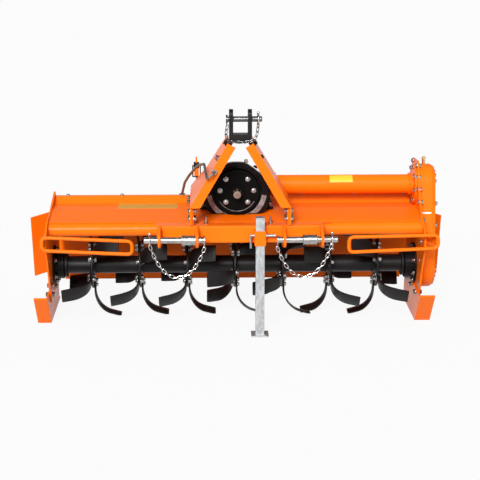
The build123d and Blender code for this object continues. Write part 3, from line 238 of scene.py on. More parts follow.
yellow_film = finish("yellow_label", (0.90, 0.52, 0.03), 0.06, 0.4, grain=20)
white_film = finish("white_label", (0.85, 0.85, 0.83), 0.04, 0.4, grain=20)
print(len(bpy.data.materials), "materials so far")

# %% [markdown]
# The record sorts the CAD pieces by material, and each of its materials has one finish or more
# here. A piece gets the first, apart from a few castings whose skin is rougher than that of a
# painted plate, the tower's orange feet and the weathered top pin.

# %% Paint the CAD pieces
SLOT_PAINTS = {
    "orange_paint": (orange, gold_film, yellow_film, white_film),
    "black_paint": (black, cast_black, cover_black, casting_painted_reflection, hook_steel),
    "zinc": (zinc, dark_zinc, pale_steel), "galvanised": (galvanised,),
    "bright_steel": (steel, rust), "brass": (brass,),
}
SPECIAL = {
    "arm_feet": orange, "top_pin": dark_zinc, "gearbox_cover": cover_black,
    "bearing_left": cast_black, "final_drive_hub_right": cast_black,
}
slots = {row["node"]: row["material_slot"] for row in frame["record"]["subparts"]}
for node, obj in frame["nodes"].items():
    paint = SPECIAL.get(node, SLOT_PAINTS[slots[node]][0])
    for slot in obj.material_slots:
        slot.material = paint
print(len(frame["nodes"]), "CAD pieces painted")

# %% [markdown]
# Every piece that follows becomes one object at the origin, painted, shaded smooth with its
# sharp edges kept, and told which moving body of the machine it rides on. Where it shows a CAD
# piece in a finer form, it stands for that piece.

# %% Making a piece
piece_faces = {}


def make(name, shape, body, paint, stands_for=(), crease=40):
    """Builds the object, rides it on a body and notes how many triangles it has."""
    points, quads, triangles = shape
    mesh = bpy.data.meshes.new(name)
    mesh.from_pydata(points.tolist(), [], quads.tolist() + triangles.tolist())
    mesh.polygons.foreach_set("use_smooth", np.ones(len(mesh.polygons), bool))
    mesh.set_sharp_from_angle(angle=math.radians(crease))
    mesh.materials.append(paint)
    piece = bpy.data.objects.new(name, mesh)
    bpy.context.scene.collection.objects.link(piece)
    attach(piece, body)
    if stands_for:
        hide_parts(*stands_for)
    piece_faces[name] = 2 * len(quads) + len(triangles)
    print(name, piece_faces[name], "triangles")


# %% [markdown]
# ## The rotor
# Each blade is a flat bar, sharpened along its leading edge, broadened at the tip and bent
# round there like a scoop. One surface says it all: u runs along the bar from its root, out to
# the bend and round it, and v runs round the bar's section.

# %% Blades
DISC = 8.0
BLADE = 8.0
ROOT_R, BEND_START, BEND_R, TIP = 62.0, 121.0, 110.0, 48.0
BEND = math.radians(75)
ROTOR_R = 245.0
SHANK = 22.5  # half the bar's width
LEAD, TRAIL = 10.0, 65.0  # the tip's reach before and behind the bar's middle


def blade_shape():
    """The back of the bar is x = 4 + R (1 - cos t), z = s + R sin t in the bend, straight before
    and after. Across it, y runs from the leading to the trailing edge, which both depend on z,
    and w is the depth below the back, thinned to an edge in front."""
    turn = np.concatenate([np.zeros(2), np.linspace(0, BEND, 14), np.full(2, BEND)])
    run = np.concatenate([[ROOT_R - BEND_START, -20], np.zeros(14), [TIP * 0.7, TIP]])
    x = DISC / 2 + BEND_R * (1 - np.cos(turn)) + run * np.sin(turn)
    z = BEND_START + BEND_R * np.sin(turn) + run * np.cos(turn)
    widening, shoulder = BEND_START + 10, 220
    lead = np.interp(z, [ROOT_R, widening, ROTOR_R], [-SHANK, -SHANK, -LEAD])
    trail = np.interp(z, [ROOT_R, widening, shoulder, ROTOR_R], [SHANK, SHANK + 1, TRAIL, TRAIL])
    # the last ring is a little narrower, which eases the tip's corners
    corner = np.array([1.0] * (len(z) - 1) + [0.97])
    middle = (lead + trail) / 2
    lead, trail = middle + (lead - middle) * corner, middle + (trail - middle) * corner
    # the bar's section: share of the way from lead to trail, and depth below the back
    share = np.array([0.0, 0.02, 0.5, 0.97, 1.0, 1.0, 0.97, 0.5, 0.24, 0.01])
    depth = np.array([0.5, 0.0, 0.0, 0.0, 1.2, 6.8, 8.0, 8.0, 8.0, 1.8]) * BLADE / 8
    y = lead[:, None] + (trail - lead)[:, None] * share
    px = x[:, None] + depth * np.cos(turn)[:, None]
    pz = z[:, None] - depth * np.sin(turn)[:, None]
    # nothing reaches past the rotor's circle
    shrink = np.minimum(1, (ROTOR_R - 0.5) / np.hypot(y, pz))
    return skin(np.stack([px, y * shrink, pz * shrink], -1) * MM)


# the discs' places, and how far forward of straight down each disc's first blade stands
DISC_X = -695.0 + 225.0 * np.arange(7)
PHASES = np.array([60.0, 52.0, 50.0, 80.0, 70.0, 108.0, 116.0])
PER_DISC = 6
angles = (PHASES[:, None] + 360.0 / PER_DISC * np.arange(PER_DISC)).ravel()
disc_x = np.repeat(DISC_X, PER_DISC)
hands = np.tile([-1.0, 1.0], len(angles) // 2)
a = np.radians(180 - angles)
blade_turns = np.zeros((len(angles), 3, 3))
blade_turns[:, 0, 0] = hands
blade_turns[:, 1, 1] = blade_turns[:, 2, 2] = np.cos(a)
blade_turns[:, 1, 2], blade_turns[:, 2, 1] = -np.sin(a), np.sin(a)
blade_spots = places(np.stack([disc_x, 0 * disc_x, 0 * disc_x], -1))
make("blades", repeat(blade_shape(), blade_turns, blade_spots), "rotor", black, ["tines"],
     crease=50)
print(len(angles), "blades on", len(DISC_X), "discs")

# %% [markdown]
# The shaft is a thick tube with seven welded discs, and a collar and a thin journal at each
# end. A lathe shape suits it: a list of stations and radii, turned round the axis in one go.

# %% Shaft with discs
def lathe(stations, radii, sides=48):
    """Turns a profile round the third axis: x = r cos t, y = r sin t, z = station."""
    t = np.linspace(0, 2 * math.pi, sides, endpoint=False)
    r, s = np.asarray(radii, float)[:, None], np.asarray(stations, float)[:, None]
    return skin(np.stack([r * np.cos(t), r * np.sin(t), s + 0 * t], -1) * MM)


SHAFT_R, DISC_R, JOURNAL_R, COLLAR_R = 41.0, 112.0, 25.0, 60.0
station = [-875.0, -827.0, -826.0, -826.0, -815.0, -814.0]
radius = [JOURNAL_R, JOURNAL_R, COLLAR_R - 2, COLLAR_R, COLLAR_R, SHAFT_R]
for x in DISC_X:
    # a fillet weld on both sides of each disc
    station += [x - 11, x - 4.2, x - 4, x - 3.5, x + 3.5, x + 4, x + 4.2, x + 11]
    radius += [SHAFT_R, SHAFT_R + 7, DISC_R - 1, DISC_R, DISC_R, DISC_R - 1, SHAFT_R + 7, SHAFT_R]
station += [774.0, 775.0, 786.0, 786.0, 787.0, 835.0]
radius += [SHAFT_R, COLLAR_R, COLLAR_R, COLLAR_R - 2, JOURNAL_R, JOURNAL_R]
make("rotor_tube", repeat(lathe(station, radius), along_x, places([(0, 0, 0)])), "rotor", black,
     ["rotor_shaft"], crease=30)

# %% [markdown]
# ## Bolts
# The machine is held together by hundreds of bolts and nuts. All are one shape in several sizes:
# a washer, a six-sided head and a rounded crown. The head is a circle whose radius is pulled in
# on six flats, r = f / cos(angle from the nearest flat), which gives a true hexagon.

# %% Bolt shape
def bolt_shape(across, height):
    """Hexagonal head on a washer, about the third axis, seated at zero. Sizes in mm."""
    t = np.arange(12) * math.pi / 6
    flat = across / 2 / np.cos((t + math.pi / 6) % (math.pi / 3) - math.pi / 6)
    ring = np.ones(12)
    washer = 0.14 * across
    rings = [
        (ring * across * 0.78, 0.0), (ring * across * 0.78, washer), (flat * 0.98, washer),
        (flat, washer + 0.4), (flat, height - across * 0.06), (ring * across * 0.44, height),
    ]
    rows = [np.stack([r * np.cos(t), r * np.sin(t), 0 * t + z], -1) for r, z in rings]
    return skin(np.stack(rows) * MM)


def bolts(name, spots, axes, body="frame", across=17.0, height=11.0, paint=zinc):
    """Bolts at spots in mm, each head pointing along its axis."""
    spots = places(spots)
    axes = np.broadcast_to(np.atleast_2d(axes), (len(spots), 3))
    shape = repeat(bolt_shape(across, height), facing(axes), spots)
    make(name, shape, body, paint, crease=35)


# %% [markdown]
# Two bolts clamp each blade to its disc, so that a worn blade can be changed. They lie on the
# line from the axis to the blade, with the head on the blade's face and the nut on the far side
# of the disc.

# %% Blade bolts
out_y, out_z = -np.sin(np.radians(angles)), -np.cos(np.radians(angles))
heads, tails = [], []
for r in (76.0, 99.0):
    heads.append(np.stack([disc_x + hands * (DISC / 2 + BLADE), r * out_y, r * out_z], -1))
    tails.append(np.stack([disc_x - hands * DISC / 2, r * out_y, r * out_z], -1))
toward = np.stack([hands, 0 * hands, 0 * hands], -1)
bolts("blade_bolt_heads", np.concatenate(heads), np.concatenate([toward] * 2), "rotor", across=16,
      height=10)
bolts("blade_bolt_nuts", np.concatenate(tails), -np.concatenate([toward] * 2), "rotor", across=16,
      height=13)

# %% [markdown]
# ## Bars, rings and chains
# Loops of round bar guard the front, and small rings keep the hitch pins in. All are a circle
# carried along a path, so one helper sweeps a circle along any row of points, and another
# rounds a path's corners as a bending machine does.

# %% Sweeping a circle
def sweep(path, radius, closed=False, sides=12, lean=(0.3, 0.2, 1.0)):
    """Carries a circle along a path: at each point the circle lies in the plane square to the
    way ahead, spanned by b = way x lean and n = b x way. Path and radius in metres."""
    path = np.asarray(path, float)
    if closed:
        way = unit(np.roll(path, -1, 0) - np.roll(path, 1, 0))
    else:
        way = unit(np.gradient(path, axis=0))
    b = unit(np.cross(way, lean))
    n = np.cross(b, way)
    t = np.linspace(0, 2 * math.pi, sides, endpoint=False)[None, :, None]
    radius = np.broadcast_to(radius, (len(path),))[:, None, None]
    rings = path[:, None] + radius * (np.cos(t) * b[:, None] + np.sin(t) * n[:, None])
    return skin(rings, closed)


def eased(corners, back, steps=6, closed=False):
    """A path that cuts each corner by a curve: (1-t)^2 A + 2t(1-t) C + t^2 B, where A and B lie
    on the two straight runs, a distance back from the corner C."""
    corners = np.asarray(corners, float)
    before = corners if closed else corners[1:-1]
    prior = np.roll(corners, 1, 0) if closed else corners[:-2]
    later = np.roll(corners, -1, 0) if closed else corners[2:]
    a = before + unit(prior - before) * back
    b = before + unit(later - before) * back
    t = np.linspace(0, 1, steps)[None, :, None]
    curve = (1 - t) ** 2 * a[:, None] + 2 * t * (1 - t) * before[:, None] + t**2 * b[:, None]
    curve = curve.reshape(-1, 3)
    return curve if closed else np.concatenate([corners[:1], curve, corners[-1:]])


print("four corners are eased to", len(eased(np.eye(4, 3), 0.1, closed=True)), "points")

# %% [markdown]
# The guards are two long loops of 16 mm bar with tight corners, which stop a person's foot from
# reaching the blades. The straps that carry them are flat bars on edge, welded to the end
# plates. The right strap is bent twice, since its loop's end stands out from the plate.

# %% Guards
def bent_bar(points, low, high, thick):
    """A flat bar that stands on edge between two heights and follows points in plan. Each side
    is the line moved half the thickness along its own normal. Sizes in mm."""
    plan = np.asarray(points, float)
    way = unit(np.gradient(plan, axis=0))
    normal = np.stack([-way[:, 1], way[:, 0]], -1) * thick / 2
    soft = 1.2  # how much each edge is broken
    rings = []
    for side, up in ((1, 0), (1, 1), (-1, 1), (-1, 0)):
        h = high if up else low
        inward = soft if up else -soft
        pair = [(1.0, -inward), (1 - soft / thick * 2, 0)]
        if (side, up) in ((-1, 1), (1, 0)):
            pair = pair[::-1]
        for across, rise in pair:
            xy = plan + normal * side * across
            rings.append(np.column_stack([xy, np.full(len(plan), h + rise)]))
    return skin(places(np.stack(rings, 1)))


GUARD_R, GUARD_CORNER = 0.008, 0.024


def guard_loop(inner, outer, low, high):
    """Bar swept round one loop, between two places along X. The inner end's two heights are
    given, and the outer end is the same on both sides."""
    corners = [(inner, -340, low), (outer, -340, 156.5), (outer, -340, 217), (inner, -340, high)]
    path = eased(places(corners), GUARD_CORNER, steps=7, closed=True)
    return sweep(path, GUARD_R, closed=True, sides=14, lean=(0, 1, 0))


STRAP = (167, 207, 8)  # lower edge, upper edge and thickness, in mm
straps = ([(-893, -180), (-893, -330)], [(853, -140), (853, -225), (893, -318), (893, -332)])
loops = (guard_loop(-491, -897, 136.5, 197), guard_loop(491, 897, 140, 211))
for name, loop, strap in zip(("left", "right"), loops, straps):
    make("guard_loop_" + name, together(loop, bent_bar(strap, *STRAP)), "frame", orange,
         ["guard_" + name])

# %% [markdown]
# A linch pin is a tapered peg with a ring that snaps over the hitch pin. The ring is thinner
# than the peg and stays bright, because hands and chains rub it.

# %% Linch pins
PIN = (-368.3, 208)  # the lower hitch pins' Y and height
LINCH = places([(-410, *PIN), (410, *PIN), (80, -290, 744)])
RING_R, RING_WIRE_R = 26 * MM, 3 * MM
peg = lathe([-17.5, -15, -8, 22, 23, 31, 33], [3.0, 4.6, 5.0, 5.0, 6.5, 6.5, 5.0], sides=16)
turn = np.linspace(0, 2 * math.pi, 48, endpoint=False)
circle = np.stack([0 * turn, np.cos(turn), np.sin(turn)], -1) * RING_R
hoop = sweep(circle, RING_WIRE_R, closed=True, sides=10, lean=(1, 0, 0))
make("linch_pins_smooth", together(repeat(peg, np.eye(3), LINCH), repeat(hoop, np.eye(3), LINCH)),
     "frame", pale_steel, ["linch_pins"])

# %% [markdown]
# Two chains keep the lower pins from being lost. Each link is a racetrack of round wire. The
# CAD chain has the links' places in plainer shapes: the longest direction of such a shape is
# the link's length and the shortest is its thickness, so the links can be laid into it by
# looking at how its points are spread.

# %% Chains
LINK_WIRE, LINK_LENGTH, LINK_WIDTH = 3.6, 29.2, 16.0
LOWER_LINKS, TOP_LINKS = 19, 13


def link_frames(node, count):
    """Middle and three directions of each link of a CAD chain. The eigenvectors of a link's
    3 x 3 matrix of products, sorted by spread, are its thickness, its width and its length.
    The last column is turned round where the three would be a mirror image."""
    mesh = frame["nodes"][node].data
    points = np.empty(len(mesh.vertices) * 3)
    mesh.vertices.foreach_get("co", points)
    points = points.reshape(count, -1, 3)
    spread = points - points.mean(1, keepdims=True)
    directions = np.linalg.eigh(np.einsum("lpi,lpj->lij", spread, spread))[1][:, :, ::-1]
    directions[:, :, 2] *= np.linalg.det(directions)[:, None]
    return points.mean(1), directions


# the racetrack: half circles joined by straights, x = +-run + r cos t, y = r sin t
turn = np.linspace(-math.pi / 2, math.pi / 2, 8)
round_r = (LINK_WIDTH - LINK_WIRE) / 2
run = (LINK_LENGTH - LINK_WIRE) / 2 - round_r
half = np.stack([run + round_r * np.cos(turn), round_r * np.sin(turn), 0 * turn], -1)
track = np.concatenate([half, half * [-1, -1, 1]]) * MM
link = sweep(track, LINK_WIRE / 2 * MM, closed=True, sides=8, lean=(0, 0, 1))
for node in ("chain_left", "chain_right"):
    middles, turns = link_frames(node, LOWER_LINKS)
    make(node + "_links", repeat(link, turns, middles), "frame", pale_steel, [node])

# %% [markdown]
# The top pin's chain doesn't hang free: it lies on the two cheeks' upper ends and sags a little
# between them. Its links are spread evenly along that path, each turned an eighth of a turn to
# one side or the other, so that neighbours cross. Only its two ends come from the CAD chain.

# %% Top chain
def link_turns(path, count):
    """Places and directions of links along a path. With the tangent t and the path's normal n,
    a link's width is n cos a + (t x n) sin a, with a = +-45 degrees by turns."""
    lengths = np.linalg.norm(np.diff(path, axis=0), axis=1)
    s = np.concatenate([[0], np.cumsum(lengths)])
    at = np.linspace(0, s[-1], count)
    middles = np.stack([np.interp(at, s, path[:, i]) for i in range(3)], -1)
    along = unit(np.gradient(middles, axis=0))
    normal = unit(np.array([0.0, 1.0, 0.0]) - along[:, 1:2] * along)
    cross = np.cross(along, normal)
    a = np.where(np.arange(count) % 2, 1, -1)[:, None] * math.pi / 4
    wide = normal * np.cos(a) + cross * np.sin(a)
    return middles, np.stack([along, wide, np.cross(along, wide)], -1)


ends = link_frames("chain_top", TOP_LINKS)[0]
between = places([(-66, -331, 683), (-60, -332, 657), (-36, -332, 648), (4, -331, 645),
                  (38, -332, 648), (60, -332, 657), (74, -330, 685)])
top_path = eased(np.concatenate([ends[:1], between, ends[-1:]]), 0.008)
middles, turns = link_turns(top_path, TOP_LINKS)
make("chain_top_links", repeat(link, turns, middles), "frame", dark_zinc, ["chain_top"])

# %% [markdown]
# A hook of round bar runs from the deck's rear rail over the left cheek. When the machine is
# parked, the free end of the drive shaft rests on it. The bar is bent in a vice, so its corners
# are round, and its foot is a small plate bolted to the rail.

# %% Rest hook
HOOK_R = 6.2 * MM
hook_path = places([
    (-118, -331, 515), (-118, -363, 515), (-152, -368, 489), (-163, -205, 525),
    (-190, -150, 509), (-212, -50, 466), (-234, 0, 431), (-256, 80, 381), (-270, 153, 311),
])
hook_foot = bent_bar([(-270, 143), (-270, 163)], 304, 311, 28)
make("rest_hook", together(sweep(eased(hook_path, 0.012), HOOK_R), hook_foot), "frame", hook_steel,
     ["shaft_rest_hook"])

# %% [markdown]
# ## Fixing bolts
# Now the bolts that hold the frame together. Each group is a short table of places, and a
# direction for the heads. The gearbox has six round its front cover, a filler plug and a vent.

# %% Gearbox bolts
GEARBOX_X, INPUT_H = -12.0, 376.0
six = ((-78, 6), (-51, 60), (51, 60), (78, 6), (51, -48), (-51, -48))
cover_spots = [(GEARBOX_X + x, -119, INPUT_H + h) for x, h in six]
bolts("cover_bolts", cover_spots, (0, -1, 0), across=15, height=9)
bolts("gearbox_plug", [(32, -78, 507)], (0, 0, 1), across=15, height=14)
bolts("gearbox_vent", [(74, -70, 481)], (0.5, 0, 0.87), across=15, height=9, paint=black)

# %% [markdown]
# The gearbox's body is a casting with a flat front, round shoulders and a back that slopes
# down. Its skin is one outline carried from front to back: the ring at each depth y keeps the
# outline's width, its heights above the input shaft are scaled by f(y), and its foot stands on
# the deck, whose sheet rises to a fold and lies nearly level behind it.

# %% Gearbox body
def deck_top(y):
    """Height of the deck's upper sheet at a depth."""
    return np.interp(y, [-200, -194, -13, 94], [253.3, 254.3, 274.2, 276.6])


FOOT_H = 262.0  # the outline's lowest points
outline = np.array([(-125, FOOT_H), (-157, 322), (-157, 420), (-40, 508),
                    (40, 508), (157, 420), (157, 322), (125, FOOT_H)], float)
corners = np.column_stack([outline[:, 0], 0 * outline[:, 0], outline[:, 1]])
soft_outline = eased(corners, 26, closed=True)[:, [0, 2]]


def body_ring(y, share):
    """The outline at one depth, drawn in toward the shaft by a share. Above the shaft's height
    it is scaled by f, which runs from 1 at y = -60 to 0.52 at y = 139, and the foot follows
    the deck."""
    x, h = (soft_outline - [0, INPUT_H]).T * share
    f = np.interp(y, [-60, 139], [1, 0.52])
    foot = (h + INPUT_H - FOOT_H) / (INPUT_H - FOOT_H)
    low = deck_top(y) - 1 + foot * (INPUT_H - deck_top(y) + 1)
    return np.column_stack([GEARBOX_X + x, 0 * x + y, np.where(h > 0, INPUT_H + h * f, low)])


depths = [(-100, 0.96), (-99.5, 0.975), (-96, 0.995), (-90, 1), (-60, 1), (0, 1), (60, 1),
          (130, 1), (137, 0.99), (139, 0.96)]
rows = [body_ring(y, share) for y, share in depths]
make("gearbox_body", skin(places(rows)), "frame", cast_black, ["gearbox_housing"])

# %% [markdown]
# The casting's lower half has two open webs beside the cover, painted grey: the real webs carry a
# painted reflection of the pale floor on their sloping faces. A seam runs across at the shaft's
# height, and a raised ring surrounds the cover; a thin grey bar along its lower rim is a painted
# highlight. Four feet with bolts hold the casting to the deck.

# %% Gearbox webs, ring and feet
def front_arc(radius, start, stop, y, thick):
    """A round bar swept along an arc that faces the front, about the input shaft:
    X = cx + r cos t, height = cz + r sin t. Angles in degrees."""
    t = np.radians(np.linspace(start, stop, 24))
    path = np.stack([GEARBOX_X + radius * np.cos(t), 0 * t + y, INPUT_H + radius * np.sin(t)], -1)
    return sweep(places(path), thick * MM, lean=(0, 1, 0.01))


WEB_IN, WEB_OUT = 118.0, 141.0
WEB_FOOT = 106.0  # how far below the shaft the webs are cut off


def web(start, stop):
    """A ring sector with a sloping face, cut off level at its foot: r runs from the inner
    radius to the smaller of the outer one and foot / |sin t|."""
    t = np.radians(np.linspace(start, stop, 20))
    inner, level = WEB_IN, WEB_FOOT / np.maximum(np.abs(np.sin(t)), 0.01)
    reach = np.maximum(np.minimum(WEB_OUT, level), inner + 1)
    rows = []
    for angle, far in zip(t, reach):
        section = np.array([(inner, -99), (inner, -107), (inner + 1, -108), (far - 1, -103),
                            (far, -102), (far, -99)])
        rows.append(np.column_stack([GEARBOX_X + section[:, 0] * math.cos(angle), section[:, 1],
                                     INPUT_H + section[:, 0] * math.sin(angle)]))
    return skin(places(rows))


# the webs' grey is a painted reflection of the pale floor
make("gearbox_webs", together(web(189, 248), web(292, 351)), "frame", casting_painted_reflection)
ribs = [front_arc(*row) for row in ((112, 0, 359, -99, 7), (147, 190, 225, -97, 5),
                                    (147, 315, 350, -97, 5))]
seams = [bent_bar([(x0, -103), (x1, -103)], INPUT_H - 8, INPUT_H - 3, 8)
         for x0, x1 in ((-165, -124), (100, 141))]
pads = [bent_bar([(x, y - 24), (x, y + 24)], deck_top(y) - 1, deck_top(y) + 10, 40)
        for x in (-165, 141) for y in (-10, 100)]
make("gearbox_ribs", together(*ribs, *seams, *pads), "frame", cast_black)
bolts("gearbox_foot_bolts", [(x, y, deck_top(y) + 10) for x in (-172, 148) for y in (-10, 100)],
      (0, 0, 1), height=14)
# a thin grey bar on the cover's lower rim: a painted highlight
make("cover_rim_painted_highlight", front_arc(91, 208, 332, -124.6, 1.1), "frame", casting_painted_reflection)

# %% [markdown]
# Two studs with nuts stand on the beam, one on each side of the gearbox. A stud is turned, so
# the lathe makes it: flange, nut, washer and the thin thread above.

# %% Beam studs
stud = lathe([0, 2, 2, 11, 12, 12, 33, 34], [12, 12, 9.5, 9.5, 8.5, 5, 5, 4], sides=16)
stud_spots = places([(-157, -248, 256), (139, -248, 256)])
make("beam_studs", repeat(stud, np.eye(3), stud_spots), "frame", zinc)

# %% [markdown]
# The tower's two cheeks lean together from their foot tabs to the top clevis, so the bolts on
# their slopes point outward and up. A cheek's outer face follows a straight line from its top
# to its tab, and the slope's normal gives the bolts their direction.

# %% Tower bolts
CHEEK_TOP_H, CHEEK_TOP_X = 640.0, 57.5
CHEEK_FALL, CHEEK_SPREAD = 294.2, 171.5  # from the top down and out to the tab
slope = unit([(CHEEK_SPREAD, 0, CHEEK_FALL)])[0]


def cheek_x(h):
    """How far out a cheek's outer face lies at a height."""
    return CHEEK_TOP_X + (CHEEK_TOP_H - h) * CHEEK_SPREAD / CHEEK_FALL


out_right, out_left = (slope[2], 0, slope[0]), (-slope[2], 0, slope[0])
for name, sign, axis in (("right", 1, out_right), ("left", -1, out_left)):
    high = [(sign * cheek_x(636), -285, 636)]
    bolts("clevis_bolts_" + name, high, axis, across=22, height=15, paint=black)
    low = [(sign * 229, y, h) for y, h in ((-262, 290), (-296, 290), (-279, 322))]
    bolts("tab_bolts_" + name, low, (sign, 0, 0))
    inner = [(sign * 213, y, h) for _, y, h in low]
    bolts("tab_nuts_" + name, inner, (-sign, 0, 0), height=13)
bolts("cheek_stud", [(-cheek_x(566), -285, 566)], out_left, across=19, height=15)
bolts("cheek_clip", [(cheek_x(572), -285, 572)], out_right, across=14, height=7, paint=black)

# %% [markdown]
# Round things are bolted in circles: the rotor's bearings, and the flanges at both ends of the
# side tube. One helper spreads bolts evenly on a ring about an axis that runs across the
# machine, and another turns a plain flange.

# %% Rings of bolts
def ring_spots(x, y, h, radius, count, first=0.0):
    """Places on a circle in a plane across X: y = cy + r cos t and h = ch + r sin t."""
    t = math.radians(first) + np.arange(count) * 2 * math.pi / count
    return np.stack([np.full(count, float(x)), y + radius * np.cos(t), h + radius * np.sin(t)], -1)


def flange(x0, x1, y, h, radius):
    """A turned flange with eased edges, between two stations along X."""
    ring = [radius - 1.5, radius, radius, radius - 1.5]
    shape = lathe([x0, x0 + 1.5, x1 - 1.5, x1], ring)
    return repeat(shape, along_x, np.array([[0, y, h + AXIS_Z]]) * MM)


TUBE = (50, INPUT_H)  # the side tube's Y and height
make("bearing_flanges", together(flange(-881, -870, 0, 0, 92), flange(830, 841, 0, 0, 98)), "frame",
     cast_black)
bolts("bearing_bolts_left", ring_spots(-870, 0, 0, 78, 6, 30), (1, 0, 0))
bolts("bearing_bolts_right", ring_spots(830, 0, 0, 83, 8, 22), (-1, 0, 0))
bolts("bearing_nuts_left", ring_spots(-889, 0, 0, 78, 6, 30), (-1, 0, 0), height=14)
bolts("shaft_flange_bolts", ring_spots(829, *TUBE, 84, 8, 10), (-1, 0, 0), across=15, height=9)
bolts("tube_neck_bolts", ring_spots(171, *TUBE, 52, 6), (1, 0, 0), across=11, height=7)

# %% [markdown]
# The tube that holds the cross shaft runs from the gearbox to the gear case. The lathe makes it
# as it made the rotor's: a neck and a flange, the plain tube, a collar and the flange on the
# end plate.

# %% Side tube
tube_x = [145, 159, 159, 160, 170, 171, 171, 808, 809, 816, 817, 828, 829, 829, 830, 841]
tube_r = [52, 52, 58, 60, 60, 58, 44.5, 44.5, 52, 52, 47, 47, 60, 93.5, 95, 95]
side_tube = repeat(lathe(tube_x, tube_r, sides=64), along_x, places([(0, *TUBE)]))
make("side_tube", side_tube, "frame", orange, ["side_shaft_tube"], crease=30)

# %% [markdown]
# The right end plate carries the gear case. Bolts follow the plate's front edge, and others hold
# the case's cover on its outer face, set in from the edge: six round the upper gear, six round
# the lower one and three down each side.

# %% Gear case bolts
edge = [(y, h) for y, h in ((-1, 474), (-33, 424), (-62, 372), (-100, 318), (-176, 250),
                            (128, 474), (168, 400), (196, 290), (232, 150), (-190, 150))]
bolts("edge_bolts_inner", [(841, y, h) for y, h in edge], (-1, 0, 0), across=15, height=9)
bolts("edge_bolts_outer", [(849, y, h) for y, h in edge[:5] + edge[6:9]], (1, 0, 0), across=15)
CASE_X = 927.0  # the case's outer face
top_arc = ring_spots(CASE_X, *TUBE, 60, 12, 8)[:6]
low_arc = ring_spots(CASE_X, 0, 0, 80, 12, 188)[:6]
sides = [(CASE_X, y, h) for y, h in ((-52, 300), (-64, 200), (-76, 100), (98, 290), (92, 190),
                                     (86, 95))]
bolts("case_cover_bolts", np.concatenate([top_arc, low_arc, sides]), (1, 0, 0), across=15, height=9)
bolts("case_plugs", [(CASE_X, 20, 190), (CASE_X, 0, 0)], (1, 0, 0), across=24, height=9)

# %% [markdown]
# The skids are bolted to the end plates, so that they can be set for the depth of work. The
# rest hook's foot, the deck's rear rail and the left guard have bolts of their own.

# %% Skid, rail and guard bolts
# the left skid lies on its end plate's outer side, and the right one on the inner side
skid_yh = ((-120, -112), (20, -112), (160, -112))
for name, inner, outer, sign in (("left", -881, -897, 1), ("right", 833, 849, -1)):
    bolts("skid_bolts_" + name, [(inner, y, h) for y, h in skid_yh], (sign, 0, 0), across=19,
          height=12)
    bolts("skid_nuts_" + name, [(outer, y, h) for y, h in skid_yh], (-sign, 0, 0), across=19,
          height=15)
bolts("skid_slot_bolts", [(-889, -150, -60), (-881, -150, -60)], [(-1, 0, 0), (1, 0, 0)], across=19,
      height=12)
bolts("rail_bolts", [(-239, 104, 281), (-239, 126, 295)], (0, -0.53, 0.85), across=14, height=9)
bolts("rail_top_bolts", [(x, 153, 304) for x in (-820, -560, 300, 560, 800)], (0, 0, 1), across=13,
      height=8)
bolts("strap_bolts", [(-897, -222, 187), (-897, -254, 187)], (-1, 0, 0), across=15, height=9)

# %% [markdown]
# ## Weld beads
# Welds are puddles of metal laid one on the next, where plates meet the beam, the deck and the
# guards. A thin swept bar whose radius swells and shrinks every few millimetres,
# r = r0 (1 + 0.18 cos 2 pi s / p), looks like them under paint.

# %% Welds
RIPPLE = 5.0  # from one puddle to the next


def weld(points, radius=3.2):
    """A rippled bead along straight runs between points in mm."""
    corners = np.asarray(points, float)
    lengths = np.linalg.norm(np.diff(corners, axis=0), axis=1)
    s = np.concatenate([[0], np.cumsum(lengths)])
    steps = max(8, int(s[-1] / RIPPLE * 4))
    t = np.linspace(0, s[-1], steps)
    path = np.stack([np.interp(t, s, corners[:, i]) for i in range(3)], -1)
    swell = radius * (1 + 0.18 * np.cos(2 * math.pi * t / RIPPLE))
    return sweep(places(path), swell * MM, sides=7, lean=(0.31, 0.52, 0.8))


beads = []
for x in (-367, -197, 197, 367):  # the hitch's lugs, on the beam
    for side in (-6.5, 6.5):
        beads.append(weld([(x + side, -306, 258), (x + side, -306, 165)]))
for x in (62.5, 113.5):  # the stand's sleeve
    beads.append(weld([(x, -306, 243), (x, -306, 178)]))
for x in (-880, 840):  # the deck and the front tube, on the end plates
    beads.append(weld([(x, -196, 254), (x, -13, 275), (x, 94, 277), (x, 141, 304)], 3.0))
    beads.append(weld([(x, -228, 218), (x, -216, 240), (x, -195, 250)], 3.0))
for h in (167, 207):  # the left guard's strap
    beads.append(weld([(-890, -300, h), (-890, -190, h)], 2.6))
for x in np.arange(-360, 400, 120.0):  # stitches between the beam and the deck
    beads.append(weld([(x, -226, 256.5), (x + 60, -226, 256.5)]))
for x in (-894, 894):  # the guards' loops, on their straps
    beads.append(weld([(x, -340, 166), (x, -340, 208)], 2.6))
make("weld_beads", together(*beads), "frame", orange)
print(len(beads), "beads")

# %% [markdown]
# ## Sheet and small trim
# A thin sheet with a soft fold covers the deck, and a lip stands on its rear rail below the side
# tube. The hitch pins' sleeves have a rolled band at each end, and the stand's leg has a row of
# holes for its lock pin, each drawn as a dark dished ring, since no one can look through it; the
# black is painted shade for the hole's dark inside.

# %% Deck sheet, sleeve bands, stand holes
def flat_strip(x0, x1, corners, soft=0.8):
    """A long bar of any section between two stations along X; the ends are eased by drawing
    the section in toward its middle. Corners are (Y, height)."""
    section = np.asarray(corners, float)
    middle = section.mean(0)
    rows = []
    for x, share in ((x0, 0.8), (x0 + soft, 1.0), (x1 - soft, 1.0), (x1, 0.8)):
        yh = middle + (section - middle) * share
        rows.append(np.column_stack([np.full(len(yh), float(x)), yh]))
    return skin(places(rows))


sheet = [(y, deck_top(y)) for y in (-194, -150, -100, -55, -20, -14, -6, 40, 92, 94)]
sheet += [(94, 272), (-14, 264), (-194, 252.5)]
make("deck_sheet", flat_strip(-879, 839, sheet, 0.2), "frame", orange, crease=20)
lip = [(148, 302), (148, 321), (149, 322), (150.5, 322), (151.5, 321), (151.5, 302)]
make("rail_lip", flat_strip(172, 838, lip), "frame", orange)

